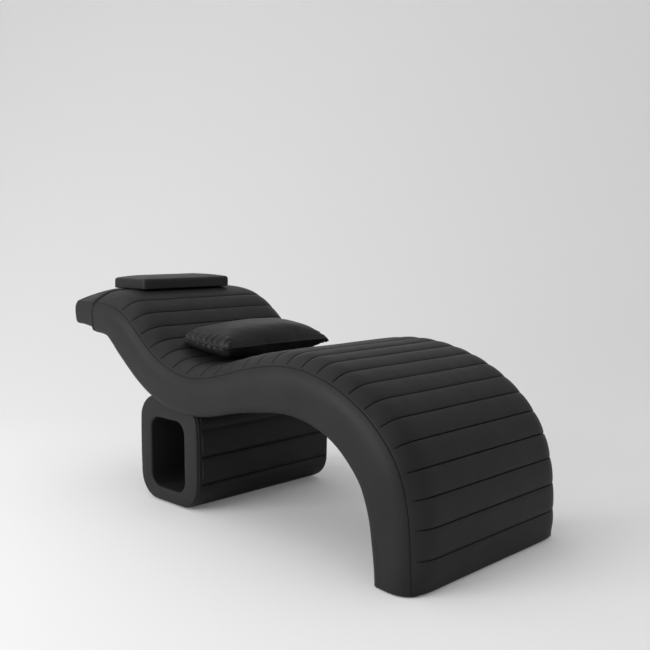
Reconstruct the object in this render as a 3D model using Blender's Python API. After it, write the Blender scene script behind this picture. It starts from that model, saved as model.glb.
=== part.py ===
"""A wave shaped treatment bed: a padded S-curve lounge that stands on its own foot end and on a
tunnel pedestal, with a head block, a flat head pillow and a lumbar pillow.

Units are metres, +Z is up, +X points to the foot end and -Y is the side seen from the front.
The origin is on the floor under the middle of the bed.
"""
import bisect
import math

import bmesh
import bpy
import numpy as np
from mathutils import Vector

# Driving dimensions of the wave, along its side seam
SEAM_WIDTH = 0.730        # across the bed, from side seam to side seam
KNEE_LENGTH = 0.500       # from the foot to the top of the knee
SEAT_LENGTH = 0.500       # from the knee to the lowest point of the seat
BACK_LENGTH = 0.605       # from the seat to the head end
KNEE_HEIGHT = 0.589
SEAT_HEIGHT = 0.4995
HEAD_HEIGHT = 0.730
SIDE_DEPTH = 0.145        # depth of the side, square to the seam
HEM_HEIGHT = 0.004        # the covers end this far above the floor

# Channelled top
HEM_PANEL = 0.097         # from the floor hem to the first groove
HEAD_PANEL = 0.175        # plain panel at the head end
CHANNEL_PITCH = 0.0745
CROWN = 0.038             # rise of a groove above the side seams
PUFF = 0.006              # rise of a channel above its grooves
SHOULDER = 0.120          # width of the rounding next to a seam
QUILT_DEPTH = 0.010       # the sewn top at a groove
QUILT_EDGE = 0.002        # the sewn top where it thins out at the seam
FLANGE = 0.015            # the sewn top's rim that lies on the top board
SIDE_BULGE = 0.017
SIDE_PAD = 0.012          # side padding inside the seam line
HEM_WALL = 0.008          # thickness of the side padding at its lower edge

# Wooden frame of the wave
BENT_PLY = 0.006
RIB_PLY = 0.018
COVER = 0.003
RAIL_WIDTH = 0.040
RAIL_DEPTH = 0.028
RAIL_PAIRS = 7

# Head end
LIP_DEPTH = 0.018
LIP_INSET = 0.012
HEAD_BLOCK_LENGTH = 0.146
HEAD_BLOCK_DEPTH = 0.090  # at its near and far faces
HEAD_BLOCK_DROP = 0.001   # its side faces stand this far below the side seam
HEAD_BLOCK_ROUND = 0.026
BLOCK_BULGE = 0.013
BLOCK_SHOULDER = 0.250    # width of its rounding next to its side faces
BAR_WIDTH = 0.040         # flat steel bars that carry the head block
BAR_THICKNESS = 0.006
BAR_LENGTH = 0.190
BAR_SPREAD = 0.400

# Pedestal
PEDESTAL_WIDTH = 0.342    # along the bed, without the puffs
PEDESTAL_LAP = 0.0362     # its top corners would stand this far above the wave's lowest underside
PEDESTAL_INSET = 0.034    # its end faces stand this far inside the side seams
PEDESTAL_SETBACK = 0.190  # from the lowest point of the seat to its middle
PEDESTAL_CORNER = 0.090
TUNNEL_WIDTH = 0.206
TUNNEL_ROOF = 0.0448      # from the tunnel up to the wave's lowest underside
TUNNEL_FLOOR = 0.057
TUNNEL_CORNER = 0.048
TUNNEL_SHIFT = 0.004      # the tunnel sits this far towards the head
PEDESTAL_WRAP = 0.016
PEDESTAL_PUFF = 0.007
PEDESTAL_PITCH = 0.100
PEDESTAL_SKIRT = 0.010    # from the lower corner's rounding up to the first groove
WRAP_ROUND = 0.015        # rounding of the wrap towards its end faces
END_PAD = 0.014
END_ROUND = 0.005
END_BEVEL = 0.0125        # the end pads' faces stand this far inside the sides
END_BEVEL_LOW = 0.0075    # and this far above the hem
LINER_PLY = 0.006
PEDESTAL_BOARD = 0.006

# Pillows
HEAD_PILLOW_WIDTH = 0.430
HEAD_PILLOW_LENGTH = 0.225
HEAD_PILLOW_THICKNESS = 0.054
PILLOW_CORNER = 0.020
PILLOW_CROWN = 0.011
LUMBAR_WIDTH = 0.500
LUMBAR_LENGTH = 0.270
LUMBAR_THICKNESS = 0.130
LUMBAR_SETBACK = 0.062    # from the lowest point of the seat to its middle
LUMBAR_SINK = 0.0025      # its belly is pressed flat by this much on the seat
LUMBAR_TILT = math.radians(4.0)

# Trim and fasteners
WELT_WIDTH = 0.0065
WELT_THICKNESS = 0.0014
WELT_DROP = 0.0012        # from the seam to the welt
GLIDE_RADIUS = 0.014
GLIDE_RECESS = 0.0022     # how far a glide is let into its board
BOLT_RADIUS = 0.004
BOLT_HEAD_RADIUS = 0.0065
BOLT_HEAD_DEPTH = 0.005
BOLT_CLEARANCE = 0.0006
BOLT_GRIP = 0.022         # from the head to the wave's underside
BOLT_BITE = 0.017         # how far a bolt reaches into its rail
GAP = 0.0003              # between pieces that touch
OVERRUN = 0.020           # how far cutters run past what they cut

# Rows of (share of the way along, share of the way up) from one place on the seam line to the
# next, chosen by eye: foot to knee, knee to seat, seat to head end
SHIN_SHARES = ((0.0066, 0.165), (0.10, 0.593), (0.30, 0.795), (0.60, 0.940))
SEAT_SHARES = ((0.559, 0.547),)
BACK_SHARES = ((0.367, 0.27), (0.471, 0.455), (0.704, 0.874))
# Rows of (share of the run from the floor hem to the head end, share of the size)
DEPTH_SHARES = ((0.0, 0.92), (0.08, 1.0), (0.15, 1.09), (0.21, 1.11), (0.30, 1.065), (0.38, 1.045),
                (0.50, 1.01), (0.60, 0.917), (0.66, 0.925), (0.73, 0.97), (0.80, 1.0), (0.87, 1.025),
                (0.92, 0.95), (0.96, 0.82), (1.0, 0.765))
CROWN_SHARES = ((0.0, 0.45), (0.03, 0.80), (0.10, 1.0), (0.22, 1.0), (0.32, 0.86), (0.46, 0.97),
                (0.55, 1.0), (0.85, 1.0), (0.95, 1.15), (1.0, 1.15))
BULGE_SHARES = ((0.0, 1.25), (0.10, 1.0), (1.0, 1.0))
# Rows of (share of the way through the channels, share of the mean channel width)
PITCH_SHARES = ((0.0, 1.19), (0.12, 0.99), (0.28, 0.96), (0.42, 0.90), (0.56, 1.0), (0.73, 1.12),
                (0.86, 1.03), (1.0, 1.0))
# Rows of (share of the side's depth, share of the bulge), down the side
SIDE_SHARES = ((0.0, 0.0), (0.14, 0.66), (0.42, 1.0), (0.74, 0.80))
# Distances in from the seam across the top, as shares of the shoulder
SHOULDER_SHARES = (0.0, 0.10, 0.375, 1.0)
# Places across the bed, as shares of half the frame's width
GLIDE_SHARES = (-0.8, 0.0, 0.8)
# Places of the bolts along the bed, as shares of the pedestal's width from its middle
BOLT_SHARES = (-0.32, -0.05)
LIP_ROUND_SHARE = 0.5
PILLOW_EDGE_SHARE = 0.36
PILLOW_FLAT_SHARE = 0.30
LUMBAR_DRAW_SHARE = 0.05

# Counts and powers of the smooth shapes
SPLINE_STEPS = 60         # from one knot of the seam line to the next
STEPS_PER_CHANNEL = 3
HEAD_PANEL_STEPS = 7
ROUND_STEPS = 5           # steps in a quarter turn
DISC_SIDES = 16
LUMBAR_COLUMNS = 18
LUMBAR_ROWS = 12
SHOULDER_POWER = 3.3
BLOCK_POWER = 1.9
SWELL_POWER = 2.4
SWELL_SOFTNESS = 0.62
CREASE_ANGLE = math.radians(38.0)

BLACK = (0.012, 0.012, 0.013)
FINISHES = {
    "leather": (BLACK, 0.42, 0.0),
    "welt": ((0.02, 0.02, 0.021), 0.5, 0.0),
    "foam": ((0.75, 0.72, 0.55), 0.95, 0.0),
    "plywood": ((0.62, 0.46, 0.28), 0.6, 0.0),
    "steel": ((0.55, 0.56, 0.58), 0.35, 1.0),
    "nylon": ((0.08, 0.08, 0.08), 0.55, 0.0),
}


def clear_scene():
    for item in list(bpy.data.objects):
        bpy.data.objects.remove(item, do_unlink=True)


def material(name, colour, roughness, metallic):
    """One Principled material."""
    made = bpy.data.materials.new(name)
    made.use_nodes = True
    shader = made.node_tree.nodes["Principled BSDF"]
    shader.inputs["Base Color"].default_value = (*colour, 1.0)
    shader.inputs["Roughness"].default_value = roughness
    shader.inputs["Metallic"].default_value = metallic
    made.diffuse_color = (*colour, 1.0)
    return made


def add_object(name, mesh, finish):
    """Links one object with its own material and smooth shading up to a crease."""
    item = bpy.data.objects.new(name, mesh)
    mesh.materials.append(material(name + "_finish", *FINISHES[finish]))
    mesh.shade_smooth()
    mesh.set_sharp_from_angle(angle=CREASE_ANGLE)
    bpy.context.scene.collection.objects.link(item)
    return item


def close_mesh(name, bm):
    """Turns the faces outward and returns the finished mesh."""
    bmesh.ops.recalc_face_normals(bm, faces=bm.faces)
    if bm.calc_volume(signed=True) < 0.0:
        bmesh.ops.reverse_faces(bm, faces=bm.faces)
    mesh = bpy.data.meshes.new(name)
    bm.to_mesh(mesh)
    bm.free()
    return mesh


def add_loft(bm, rings, capped=True):
    """Skins rings of equal length; uncapped rings close on themselves, last to first.

    Every four-sided patch is split the same way, from the low ring's outer corner, so that
    neighbouring layers have matching facets.
    """
    rows = [[bm.verts.new(point) for point in ring] for ring in rings]
    pairs = list(zip(rows[:-1], rows[1:]))
    if not capped:
        pairs.append((rows[-1], rows[0]))
    for low, high in pairs:
        count = len(low)
        for i in range(count):
            j = (i + 1) % count
            if abs(low[i].co.y) > abs(low[j].co.y):
                patches = ((low[i], low[j], high[j]), (low[i], high[j], high[i]))
            else:
                patches = ((low[i], low[j], high[i]), (low[j], high[j], high[i]))
            for patch in patches:
                bm.faces.new(patch)
    if capped:
        bm.faces.new(rows[0][::-1])
        bm.faces.new(rows[-1])


def loft(name, rings, finish, capped=True):
    """One object skinned through its rings."""
    bm = bmesh.new()
    add_loft(bm, rings, capped)
    return add_object(name, close_mesh(name, bm), finish)


def cutter(name, groups):
    """A hidden cutter of one or more solids."""
    bm = bmesh.new()
    for rings in groups:
        add_loft(bm, rings)
    item = add_object(name, close_mesh(name, bm), "steel")
    item.hide_render = True
    item.display_type = "WIRE"
    return item


def cut(item, tool):
    """Takes a cutter out of an object."""
    step = item.modifiers.new("cut_" + tool.name, "BOOLEAN")
    step.operation = "DIFFERENCE"
    step.solver = "EXACT"
    step.object = tool


def quarter_turn():
    """(sine, cosine) at even steps through a quarter turn."""
    angles = [k * math.pi / 2.0 / ROUND_STEPS for k in range(ROUND_STEPS + 1)]
    return [(math.sin(angle), math.cos(angle)) for angle in angles]


def smooth_table(table, u):
    """Reads a table of (share, value) rows at u, on a smooth curve that never runs past a row."""
    shares, values = np.array(table).T
    step, rise = np.diff(shares), np.diff(values)
    grade = rise / step
    slopes = np.zeros(len(shares))
    same_way = grade[:-1] * grade[1:] > 0.0
    before, after = grade[:-1][same_way], grade[1:][same_way]
    slopes[1:-1][same_way] = 2.0 * before * after / (before + after)
    i = min(max(int(np.searchsorted(shares, u, side="right")) - 1, 0), len(step) - 1)
    k = min(max((u - shares[i]) / step[i], 0.0), 1.0)
    bend = slopes[i] * (1.0 - k) - slopes[i + 1] * k
    return float(values[i] + rise[i] * k * k * (3.0 - 2.0 * k) + step[i] * k * (1.0 - k) * bend)


def leg(start, end, shares):
    """Knots of the seam line from one place up to the next."""
    (x0, z0), (x1, z1) = start, end
    return [start] + [(x0 + (x1 - x0) * along, z0 + (z1 - z0) * up) for along, up in shares]


def clamped_spline(knots, start, end):
    """Points along a smooth cubic curve through the knots, leaving and arriving as told."""
    knots = np.array(knots)
    span = np.linalg.norm(np.diff(knots, axis=0), axis=1)
    size = len(knots)
    system = np.zeros((size, size))
    right = np.zeros((size, 2))
    system[0, 0] = system[-1, -1] = 1.0
    right[0], right[-1] = start, end
    for i in range(1, size - 1):
        before, after = span[i - 1], span[i]
        system[i, i - 1:i + 2] = (after, 2.0 * (before + after), before)
        rise = (knots[i] - knots[i - 1]) * after / before + (knots[i + 1] - knots[i]) * before / after
        right[i] = 3.0 * rise
    slopes = np.linalg.solve(system, right)
    points = []
    for i in range(size - 1):
        for k in np.linspace(0.0, 1.0, SPLINE_STEPS, endpoint=i == size - 2):
            ahead = k * k * (3.0 - 2.0 * k)
            place = knots[i] * (1.0 - ahead) + knots[i + 1] * ahead
            bend = slopes[i] * k * (1.0 - k) ** 2 - slopes[i + 1] * k * k * (1.0 - k)
            points.append(place + bend * span[i])
    return np.array(points)


class Wave:
    """The side seam line in the plane of the bed's side, and places measured from it."""

    def __init__(self):
        foot, knee = (0.0, HEM_HEIGHT), (-KNEE_LENGTH, KNEE_HEIGHT)
        seat, head = (-KNEE_LENGTH - SEAT_LENGTH, SEAT_HEIGHT), (-HEAD_END, HEAD_HEIGHT)
        knots = leg(foot, knee, SHIN_SHARES) + leg(knee, seat, SEAT_SHARES) + leg(seat, head, BACK_SHARES)
        self.line = clamped_spline(knots + [head], (0.0, 1.0), (-1.0, 0.0))
        steps = np.linalg.norm(np.diff(self.line, axis=0), axis=1)
        self.along = np.concatenate(([0.0], np.cumsum(steps)))
        self.run = self.along[-1]
        tangent = np.gradient(self.line, self.along, axis=0)
        tangent /= np.linalg.norm(tangent, axis=1)[:, None]
        self.out = np.stack((tangent[:, 1], -tangent[:, 0]), axis=1)
        self.out[0], self.out[-1] = (1.0, 0.0), (0.0, 1.0)
        self.stations, self.puffed = self.channel_stations()

    def grooves(self):
        """Runs of the grooves: the channels are wider at the foot and in the seat."""
        middle = self.run - HEM_PANEL - HEAD_PANEL
        channels = max(2, round(middle / CHANNEL_PITCH))
        widths = [smooth_table(PITCH_SHARES, (k + 0.5) / channels) for k in range(channels)]
        return [HEM_PANEL + middle * sum(widths[:k]) / sum(widths) for k in range(channels + 1)]

    def channel_stations(self):
        """An odd count of stations along the run; puffed is 0 at a groove and an end, else 1."""
        marks = [0.0] + self.grooves()
        stations, puffed = [], []
        for low, high in zip(marks, marks[1:] + [self.run]):
            steps = STEPS_PER_CHANNEL
            if high == self.run:
                steps = HEAD_PANEL_STEPS + (len(stations) + HEAD_PANEL_STEPS) % 2
            stations += [low + (high - low) * k / steps for k in range(steps)]
            puffed += [0.0] + [1.0] * (steps - 1)
        return stations + [self.run], puffed + [0.0]

    def point(self, s, lift):
        """(x, z) at the run s, lifted off the seam line, x still measured from the foot."""
        x = np.interp(s, self.along, self.line[:, 0]) + lift * np.interp(s, self.along, self.out[:, 0])
        z = np.interp(s, self.along, self.line[:, 1]) + lift * np.interp(s, self.along, self.out[:, 1])
        return float(x), float(z)

    def depth(self, s):
        return SIDE_DEPTH * smooth_table(DEPTH_SHARES, s / self.run)

    def crown(self, s):
        return CROWN * smooth_table(CROWN_SHARES, s / self.run)

    def bulge(self, s):
        return SIDE_BULGE * smooth_table(BULGE_SHARES, s / self.run)


def shoulder(t):
    """Rise of the top, 0 at the seam and 1 past the shoulder, at the distance t in from the seam."""
    return 1.0 - (1.0 - min(max(t / SHOULDER, 0.0), 1.0)) ** SHOULDER_POWER


# Places that follow from the driving dimensions
HEAD_END = KNEE_LENGTH + SEAT_LENGTH + BACK_LENGTH
WAVE = Wave()
FRONT_REACH = max(WAVE.point(s, WAVE.crown(s) + PUFF * p)[0] for s, p in zip(WAVE.stations, WAVE.puffed))
BLOCK_END = HEAD_END + LIP_DEPTH + HEAD_BLOCK_LENGTH + 2.0 * GAP
FOOT_X = (BLOCK_END - FRONT_REACH) / 2.0
SEAT_X = FOOT_X - KNEE_LENGTH - SEAT_LENGTH
HALF = SEAM_WIDTH / 2.0
INNER_HALF = HALF - SIDE_PAD - GAP
HEM_TUCK = SIDE_PAD - HEM_WALL
RIB_TOP = -(2.0 * GAP + BENT_PLY)
FINE = list(range(len(WAVE.stations)))
COARSE = FINE[::2]


def at(s, lift, y):
    """World point at the run s, lifted off the seam line, y across the bed."""
    x, z = WAVE.point(s, lift)
    return Vector((FOOT_X + x, y, z))


def straight(s, lift_of, y):
    """As `at`, on the straight stretches between the coarse stations, which the bent boards follow."""
    runs = [WAVE.stations[i] for i in COARSE]
    k = min(max(bisect.bisect_right(runs, s) - 1, 0), len(runs) - 2)
    low, high = (at(run, lift_of(run), y) for run in runs[k:k + 2])
    return low.lerp(high, (s - runs[k]) / (runs[k + 1] - runs[k]))


def lowest_underside(middle, width):
    """Height of the wave's lowest underside over a stretch of floor."""
    places = [at(s, -WAVE.depth(s), 0.0) for s in WAVE.stations]
    return min(place.z for place in places if abs(place.x - middle) < width / 2.0)


PEDESTAL_X = SEAT_X - PEDESTAL_SETBACK
UNDERSIDE_LOW = lowest_underside(PEDESTAL_X, PEDESTAL_WIDTH)
PEDESTAL_HEIGHT = UNDERSIDE_LOW + PEDESTAL_LAP
TUNNEL_TOP = UNDERSIDE_LOW - TUNNEL_ROOF


def top_lift(i, t):
    """Lift of the channelled surface at the station i, t in from the seam."""
    s = WAVE.stations[i]
    return (WAVE.crown(s) + PUFF * WAVE.puffed[i]) * shoulder(t)


def quilt_lift(s, t):
    """Lift of the underside of the sewn top."""
    return max(WAVE.crown(s) * shoulder(t) - QUILT_DEPTH, QUILT_EDGE)


def add_channel_top():
    """The sewn, channelled top cover, from the floor hem to the head end."""
    outer = [share * SHOULDER for share in SHOULDER_SHARES]
    rings = []
    for i in FINE:
        s = WAVE.stations[i]
        ring = [at(s, top_lift(i, t), -HALF + t) for t in outer]
        ring.append(at(s, top_lift(i, HALF), 0.0))
        ring += [at(s, top_lift(i, t), HALF - t) for t in reversed(outer)]
        for side in (1.0, -1.0):
            edge = [(FLANGE, 0.0), (FLANGE, quilt_lift(s, FLANGE)), (SHOULDER, quilt_lift(s, SHOULDER))]
            if side < 0.0:
                edge.reverse()
            ring += [at(s, lift, side * (HALF - t)) for t, lift in edge]
        rings.append(ring)
    loft("channel_top", rings, "leather")


def add_seat_foam():
    """The crowned foam slab between the top board and the channelled top."""
    inset = FLANGE + GAP
    rings = []
    for i in FINE:
        s = WAVE.stations[i]
        ring = []
        for side in (-1.0, 1.0):
            rim, crest = quilt_lift(s, FLANGE) - GAP, quilt_lift(s, SHOULDER) - GAP
            edge = [(inset, 0.0), (inset, rim), (SHOULDER, crest)]
            if side > 0.0:
                edge.reverse()
            ring += [at(s, lift, side * (HALF - t)) for t, lift in edge]
        rings.append(ring)
    loft("seat_foam", rings, "foam")


def add_top_board():
    """Bent plywood under the foam: smooth on top, straight between the coarse stations below."""
    rings = []
    for i in FINE:
        s = WAVE.stations[i]
        ring = [at(s, -GAP, -INNER_HALF), at(s, -GAP, INNER_HALF)]
        ring += [straight(s, lambda run: -GAP - BENT_PLY, side * INNER_HALF) for side in (1.0, -1.0)]
        rings.append(ring)
    loft("top_board", rings, "plywood")


def under_lift(offset):
    """Lift of a surface that stands `offset` inside the underside."""
    return lambda run: -WAVE.depth(run) + offset


def frame_top(run):
    """Lift of the frame's upper edge."""
    return RIB_TOP


def frame_low(run):
    """Lift of the frame's lower edge."""
    return under_lift(COVER + BENT_PLY + 2.0 * GAP)(run)


def frame_section(s, y_low, y_high):
    """Section of the space between the bent boards."""
    corners = []
    for lift_of, ends in ((frame_top, (y_low, y_high)), (frame_low, (y_high, y_low))):
        corners += [straight(s, lift_of, y) for y in ends]
    return corners


def add_ribs():
    """Three upright plywood ribs along the wave, between the foot board and the head board."""
    runs = [WAVE.stations[i] for i in COARSE]
    runs[0] = RIB_PLY + GAP
    runs[-1] = WAVE.run - RIB_PLY - GAP
    starts = {"near": -INNER_HALF, "middle": -RIB_PLY / 2.0, "far": INNER_HALF - RIB_PLY}
    for name, y in starts.items():
        loft("rib_" + name, [frame_section(s, y, y + RIB_PLY) for s in runs], "plywood")


def add_underside():
    """Bent plywood below the ribs and the cover over it."""
    board_low = COVER + GAP
    layers = (("under_board", board_low, board_low + BENT_PLY, "plywood"),
              ("under_cover", 0.0, COVER, "leather"))
    for name, low, high, finish in layers:
        rings = []
        for i in COARSE:
            s = WAVE.stations[i]
            corners = ((low, -INNER_HALF), (low, INNER_HALF), (high, INNER_HALF), (high, -INNER_HALF))
            rings.append([at(s, under_lift(offset)(s), y) for offset, y in corners])
        loft(name, rings, finish)


def side_section(s, side):
    """Outline of a padded side: down its bulged face, and back up its flat inner face."""
    depth, bulge = WAVE.depth(s), WAVE.bulge(s)
    points = [(HALF + share * bulge, -GAP - v * (depth - GAP)) for v, share in SIDE_SHARES]
    points.append((HALF - HEM_TUCK, -depth))
    points += [(HALF - SIDE_PAD, -depth), (HALF - SIDE_PAD, -GAP)]
    return [at(s, lift, side * y) for y, lift in points]


def welt_section(s, side):
    """Outline of the flat welt that lies on the side's upper, sloping stretch."""
    slope = WAVE.bulge(s) * SIDE_SHARES[1][1] / (WAVE.depth(s) * SIDE_SHARES[1][0])
    upper, lower = WELT_DROP, WELT_DROP + WELT_WIDTH
    corners = ((upper, 0.0), (lower, 0.0), (lower, WELT_THICKNESS), (upper, WELT_THICKNESS))
    return [at(s, -drop, side * (HALF + GAP + drop * slope + out)) for drop, out in corners]


def add_sides():
    """The bulged side pads and the flat welts sewn along their upper edges."""
    for name, side in (("near", -1.0), ("far", 1.0)):
        loft("side_pad_" + name, [side_section(s, side) for s in WAVE.stations], "leather")
        loft("edge_welt_" + name, [welt_section(s, side) for s in WAVE.stations], "welt")


def box_rings(centre, half, turn=0.0):
    """Two rings of a box turned about Y."""
    cosine, sine = math.cos(turn), math.sin(turn)
    rings = []
    for y in (-half.y, half.y):
        ring = []
        for x, z in ((-half.x, -half.z), (half.x, -half.z), (half.x, half.z), (-half.x, half.z)):
            ring.append((centre.x + x * cosine - z * sine, centre.y + y, centre.z + x * sine + z * cosine))
        rings.append(ring)
    return rings


def box(name, low, high, finish):
    """A box between two corners."""
    low, high = Vector(low), Vector(high)
    return loft(name, box_rings((low + high) / 2.0, (high - low) / 2.0), finish)


def disc_rings(spot, axis, steps):
    """Rings of a turned piece: steps are (distance along the axis, radius) from the spot."""
    axis = Vector(axis).normalized()
    side = axis.orthogonal().normalized()
    other = axis.cross(side)
    rings = []
    for rise, radius in steps:
        ring = []
        for k in range(DISC_SIDES):
            angle = 2.0 * math.pi * k / DISC_SIDES
            ring.append(spot + axis * rise + (side * math.cos(angle) + other * math.sin(angle)) * radius)
        rings.append(ring)
    return rings


def stretch(k, lift_of):
    """Middle, direction and tilt of the k-th straight stretch of a bent board."""
    low, high = (at(WAVE.stations[i], lift_of(WAVE.stations[i]), 0.0) for i in (COARSE[k], COARSE[k + 1]))
    along = (high - low).normalized()
    return (low + high) / 2.0, along, math.atan2(along.z, along.x)


def add_rail_pair(name, k, lift_of, inward):
    """Two rails between the ribs, flat against a straight stretch of a bent board."""
    bay_low, bay_high = RIB_PLY / 2.0 + GAP, INNER_HALF - RIB_PLY - GAP
    spot, along, tilt = stretch(k, lift_of)
    centre = spot + Vector((-along.z, 0.0, along.x)) * inward * (RAIL_DEPTH / 2.0 + GAP)
    half = Vector((RAIL_WIDTH, bay_high - bay_low, RAIL_DEPTH)) / 2.0
    for side_name, side in (("near", -1.0), ("far", 1.0)):
        centre.y = side * (bay_low + bay_high) / 2.0
        loft(name % side_name, box_rings(centre, half, tilt), "plywood")


def bolt_stretches():
    """The straight stretches of the underside that lie nearest to the places of the bolts."""
    places = [stretch(k, frame_low)[0].x for k in range(len(COARSE) - 1)]
    wanted = [PEDESTAL_X - share * PEDESTAL_WIDTH for share in BOLT_SHARES]
    return [min(range(len(places)), key=lambda k: abs(places[k] - x)) for x in wanted]


def add_rails():
    """Cross rails under the top board, and the pairs above the pedestal that take its bolts."""
    stretches = len(COARSE) - 1
    for number in range(1, RAIL_PAIRS + 1):
        k = round((number - 0.5) * stretches / RAIL_PAIRS)
        add_rail_pair("rail_%%s_%d" % number, k, frame_top, 1.0)
    for number, k in enumerate(bolt_stretches(), start=1):
        add_rail_pair("bolt_rail_%%s_%d" % number, k, frame_low, -1.0)


def add_glides(name, spots, top, boards):
    """Nylon glides on the floor, let into recesses in what is above them."""
    up = (0.0, 0.0, 1.0)
    for number, spot in enumerate(spots, start=1):
        steps = ((0.0, GLIDE_RADIUS), (top - GAP, GLIDE_RADIUS))
        loft("%s_%d" % (name, number), disc_rings(spot, up, steps), "nylon")
    steps = ((-OVERRUN, GLIDE_RADIUS + GAP), (top, GLIDE_RADIUS + GAP))
    tool = cutter(name + "_recess", [disc_rings(spot, up, steps) for spot in spots])
    for board in boards:
        cut(board, tool)


def add_end_boards():
    """Boards that close the foot at the floor and the wave at its head end."""
    foot = loft("foot_board", [frame_section(s, -INNER_HALF, INNER_HALF) for s in (0.0, RIB_PLY)], "plywood")
    ends = frame_section(0.0, 0.0, 0.0)
    middle = (ends[0].x + ends[2].x) / 2.0
    spots = [Vector((middle, share * INNER_HALF, 0.0)) for share in GLIDE_SHARES]
    add_glides("foot_glide", spots, HEM_HEIGHT + GLIDE_RECESS, (foot,))
    runs = (WAVE.run - RIB_PLY, WAVE.run)
    return loft("head_board", [frame_section(s, -INNER_HALF, INNER_HALF) for s in runs], "plywood")


def end_outline():
    """Outline (y, z) of the wave's head end, all the way round."""
    near = [point.yz for point in side_section(WAVE.run, -1.0)[:len(SIDE_SHARES) + 1]]
    far = [Vector((-y, z)) for y, z in reversed(near)]
    inward = [share * SHOULDER for share in SHOULDER_SHARES[1:]]
    over = [at(WAVE.run, top_lift(FINE[-1], t), HALF - t).yz for t in inward]
    crest = at(WAVE.run, top_lift(FINE[-1], HALF), 0.0).yz
    return near + far + over + [crest] + [Vector((-y, z)) for y, z in reversed(over)]


def shrunk(outline, inset):
    """The outline drawn in towards its middle by the inset, each way."""
    lows = [min(point[axis] for point in outline) for axis in (0, 1)]
    highs = [max(point[axis] for point in outline) for axis in (0, 1)]
    points = []
    for point in outline:
        place = []
        for axis in (0, 1):
            middle, half = (lows[axis] + highs[axis]) / 2.0, (highs[axis] - lows[axis]) / 2.0
            place.append(middle + (point[axis] - middle) * (half - inset) / half)
        points.append(place)
    return points


def padded_end(name, outline, start, depth, rounding, first_inset):
    """A pad that stands out towards the head from start, with a rounded outer edge."""
    steps = [(0.0, first_inset)]
    for sine, cosine in quarter_turn():
        steps.append((depth - rounding * (1.0 - sine), first_inset + rounding * (1.0 - cosine)))
    rings = [[(start - out, y, z) for y, z in shrunk(outline, inset)] for out, inset in steps]
    return loft(name, rings, "leather")


def block_outline():
    """Outline (y, z) of the head block: flat below, bulged at the sides and crowned like the wave."""
    top = HEAD_HEIGHT - HEAD_BLOCK_DROP
    rise = head_top() - top
    side = [Vector((HALF + share * BLOCK_BULGE, top - v * HEAD_BLOCK_DEPTH)) for v, share in SIDE_SHARES[1:]]
    side.append(Vector((HALF - HEM_TUCK, top - HEAD_BLOCK_DEPTH)))
    over = []
    for share in SHOULDER_SHARES:
        lift = rise * (1.0 - (1.0 - share) ** BLOCK_POWER)
        over.append(Vector((HALF - share * BLOCK_SHOULDER, top + lift)))
    far = list(reversed(side)) + over
    near = [Vector((-y, z)) for y, z in reversed(far)]
    return far + [Vector((0.0, top + rise))] + near


def head_top():
    """Height of the plain panel next to the head end."""
    return at(WAVE.run, top_lift(FINE[-2], HALF), 0.0).z


def add_head_end(head_board):
    """The padded lip round the wave's end, the head block beyond it and the steel bars between them."""
    start = FOOT_X - HEAD_END - GAP
    lip = padded_end("head_lip", end_outline(), start, LIP_DEPTH, LIP_DEPTH * LIP_ROUND_SHARE, LIP_INSET)
    block_start = start - LIP_DEPTH - GAP
    block = padded_end("head_block", block_outline(), block_start, HEAD_BLOCK_LENGTH, HEAD_BLOCK_ROUND, GAP)
    height = HEAD_HEIGHT - HEAD_BLOCK_DROP - HEAD_BLOCK_DEPTH / 2.0
    half = Vector((BAR_LENGTH, BAR_WIDTH, BAR_THICKNESS)) / 2.0
    sleeves = []
    for name, side in (("near", -1.0), ("far", 1.0)):
        centre = Vector((block_start + LIP_DEPTH / 2.0, side * BAR_SPREAD / 2.0, height))
        loft("head_bar_" + name, box_rings(centre, half), "steel")
        sleeves.append(box_rings(centre, half + Vector((GAP, GAP, GAP))))
    slots = cutter("head_bar_slots", sleeves)
    for piece in (head_board, lip, block):
        cut(piece, slots)


def upright_half(half, low, high, round_low, round_high, puff, between):
    """Right half of an upright outline (x, z), from its foot up: two round corners and what is between."""
    lower = [(half - round_low * (1.0 - sine) + puff * sine**2, low + round_low * (1.0 - cosine))
             for sine, cosine in quarter_turn()]
    upper = [(half - round_high * (1.0 - cosine) + puff * cosine**2, high - round_high * (1.0 - sine))
             for sine, cosine in quarter_turn()]
    return lower + between + upper


def both_halves(right, middle):
    """The outline with its mirrored left half, placed along the bed."""
    return [(middle + x, z) for x, z in right + [(-x, z) for x, z in reversed(right)]]


def upright_channels(half, puff):
    """Grooves and channels of the pedestal's upright faces, between its round corners."""
    top = PEDESTAL_HEIGHT - PEDESTAL_CORNER
    groove = HEM_HEIGHT + PEDESTAL_CORNER + PEDESTAL_SKIRT
    points = []
    while groove < top:
        points.append((half, groove))
        rises = [PEDESTAL_PITCH * k / STEPS_PER_CHANNEL for k in range(1, STEPS_PER_CHANNEL)]
        points += [(half + puff, groove + rise) for rise in rises]
        groove += PEDESTAL_PITCH
    return [point for point in points if point[1] < top]


def pedestal_outline(inset_side, inset_low, inset_high, puff):
    """Outline (x, z) of the pedestal, drawn in by the insets, with channels of the given puff."""
    half = PEDESTAL_WIDTH / 2.0 - inset_side
    low, high = HEM_HEIGHT + inset_low, PEDESTAL_HEIGHT - inset_high
    round_low = PEDESTAL_CORNER - max(inset_low, inset_side)
    round_high = PEDESTAL_CORNER - max(inset_high, inset_side)
    channels = upright_channels(half, puff)
    return both_halves(upright_half(half, low, high, round_low, round_high, puff, channels), PEDESTAL_X)


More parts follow.
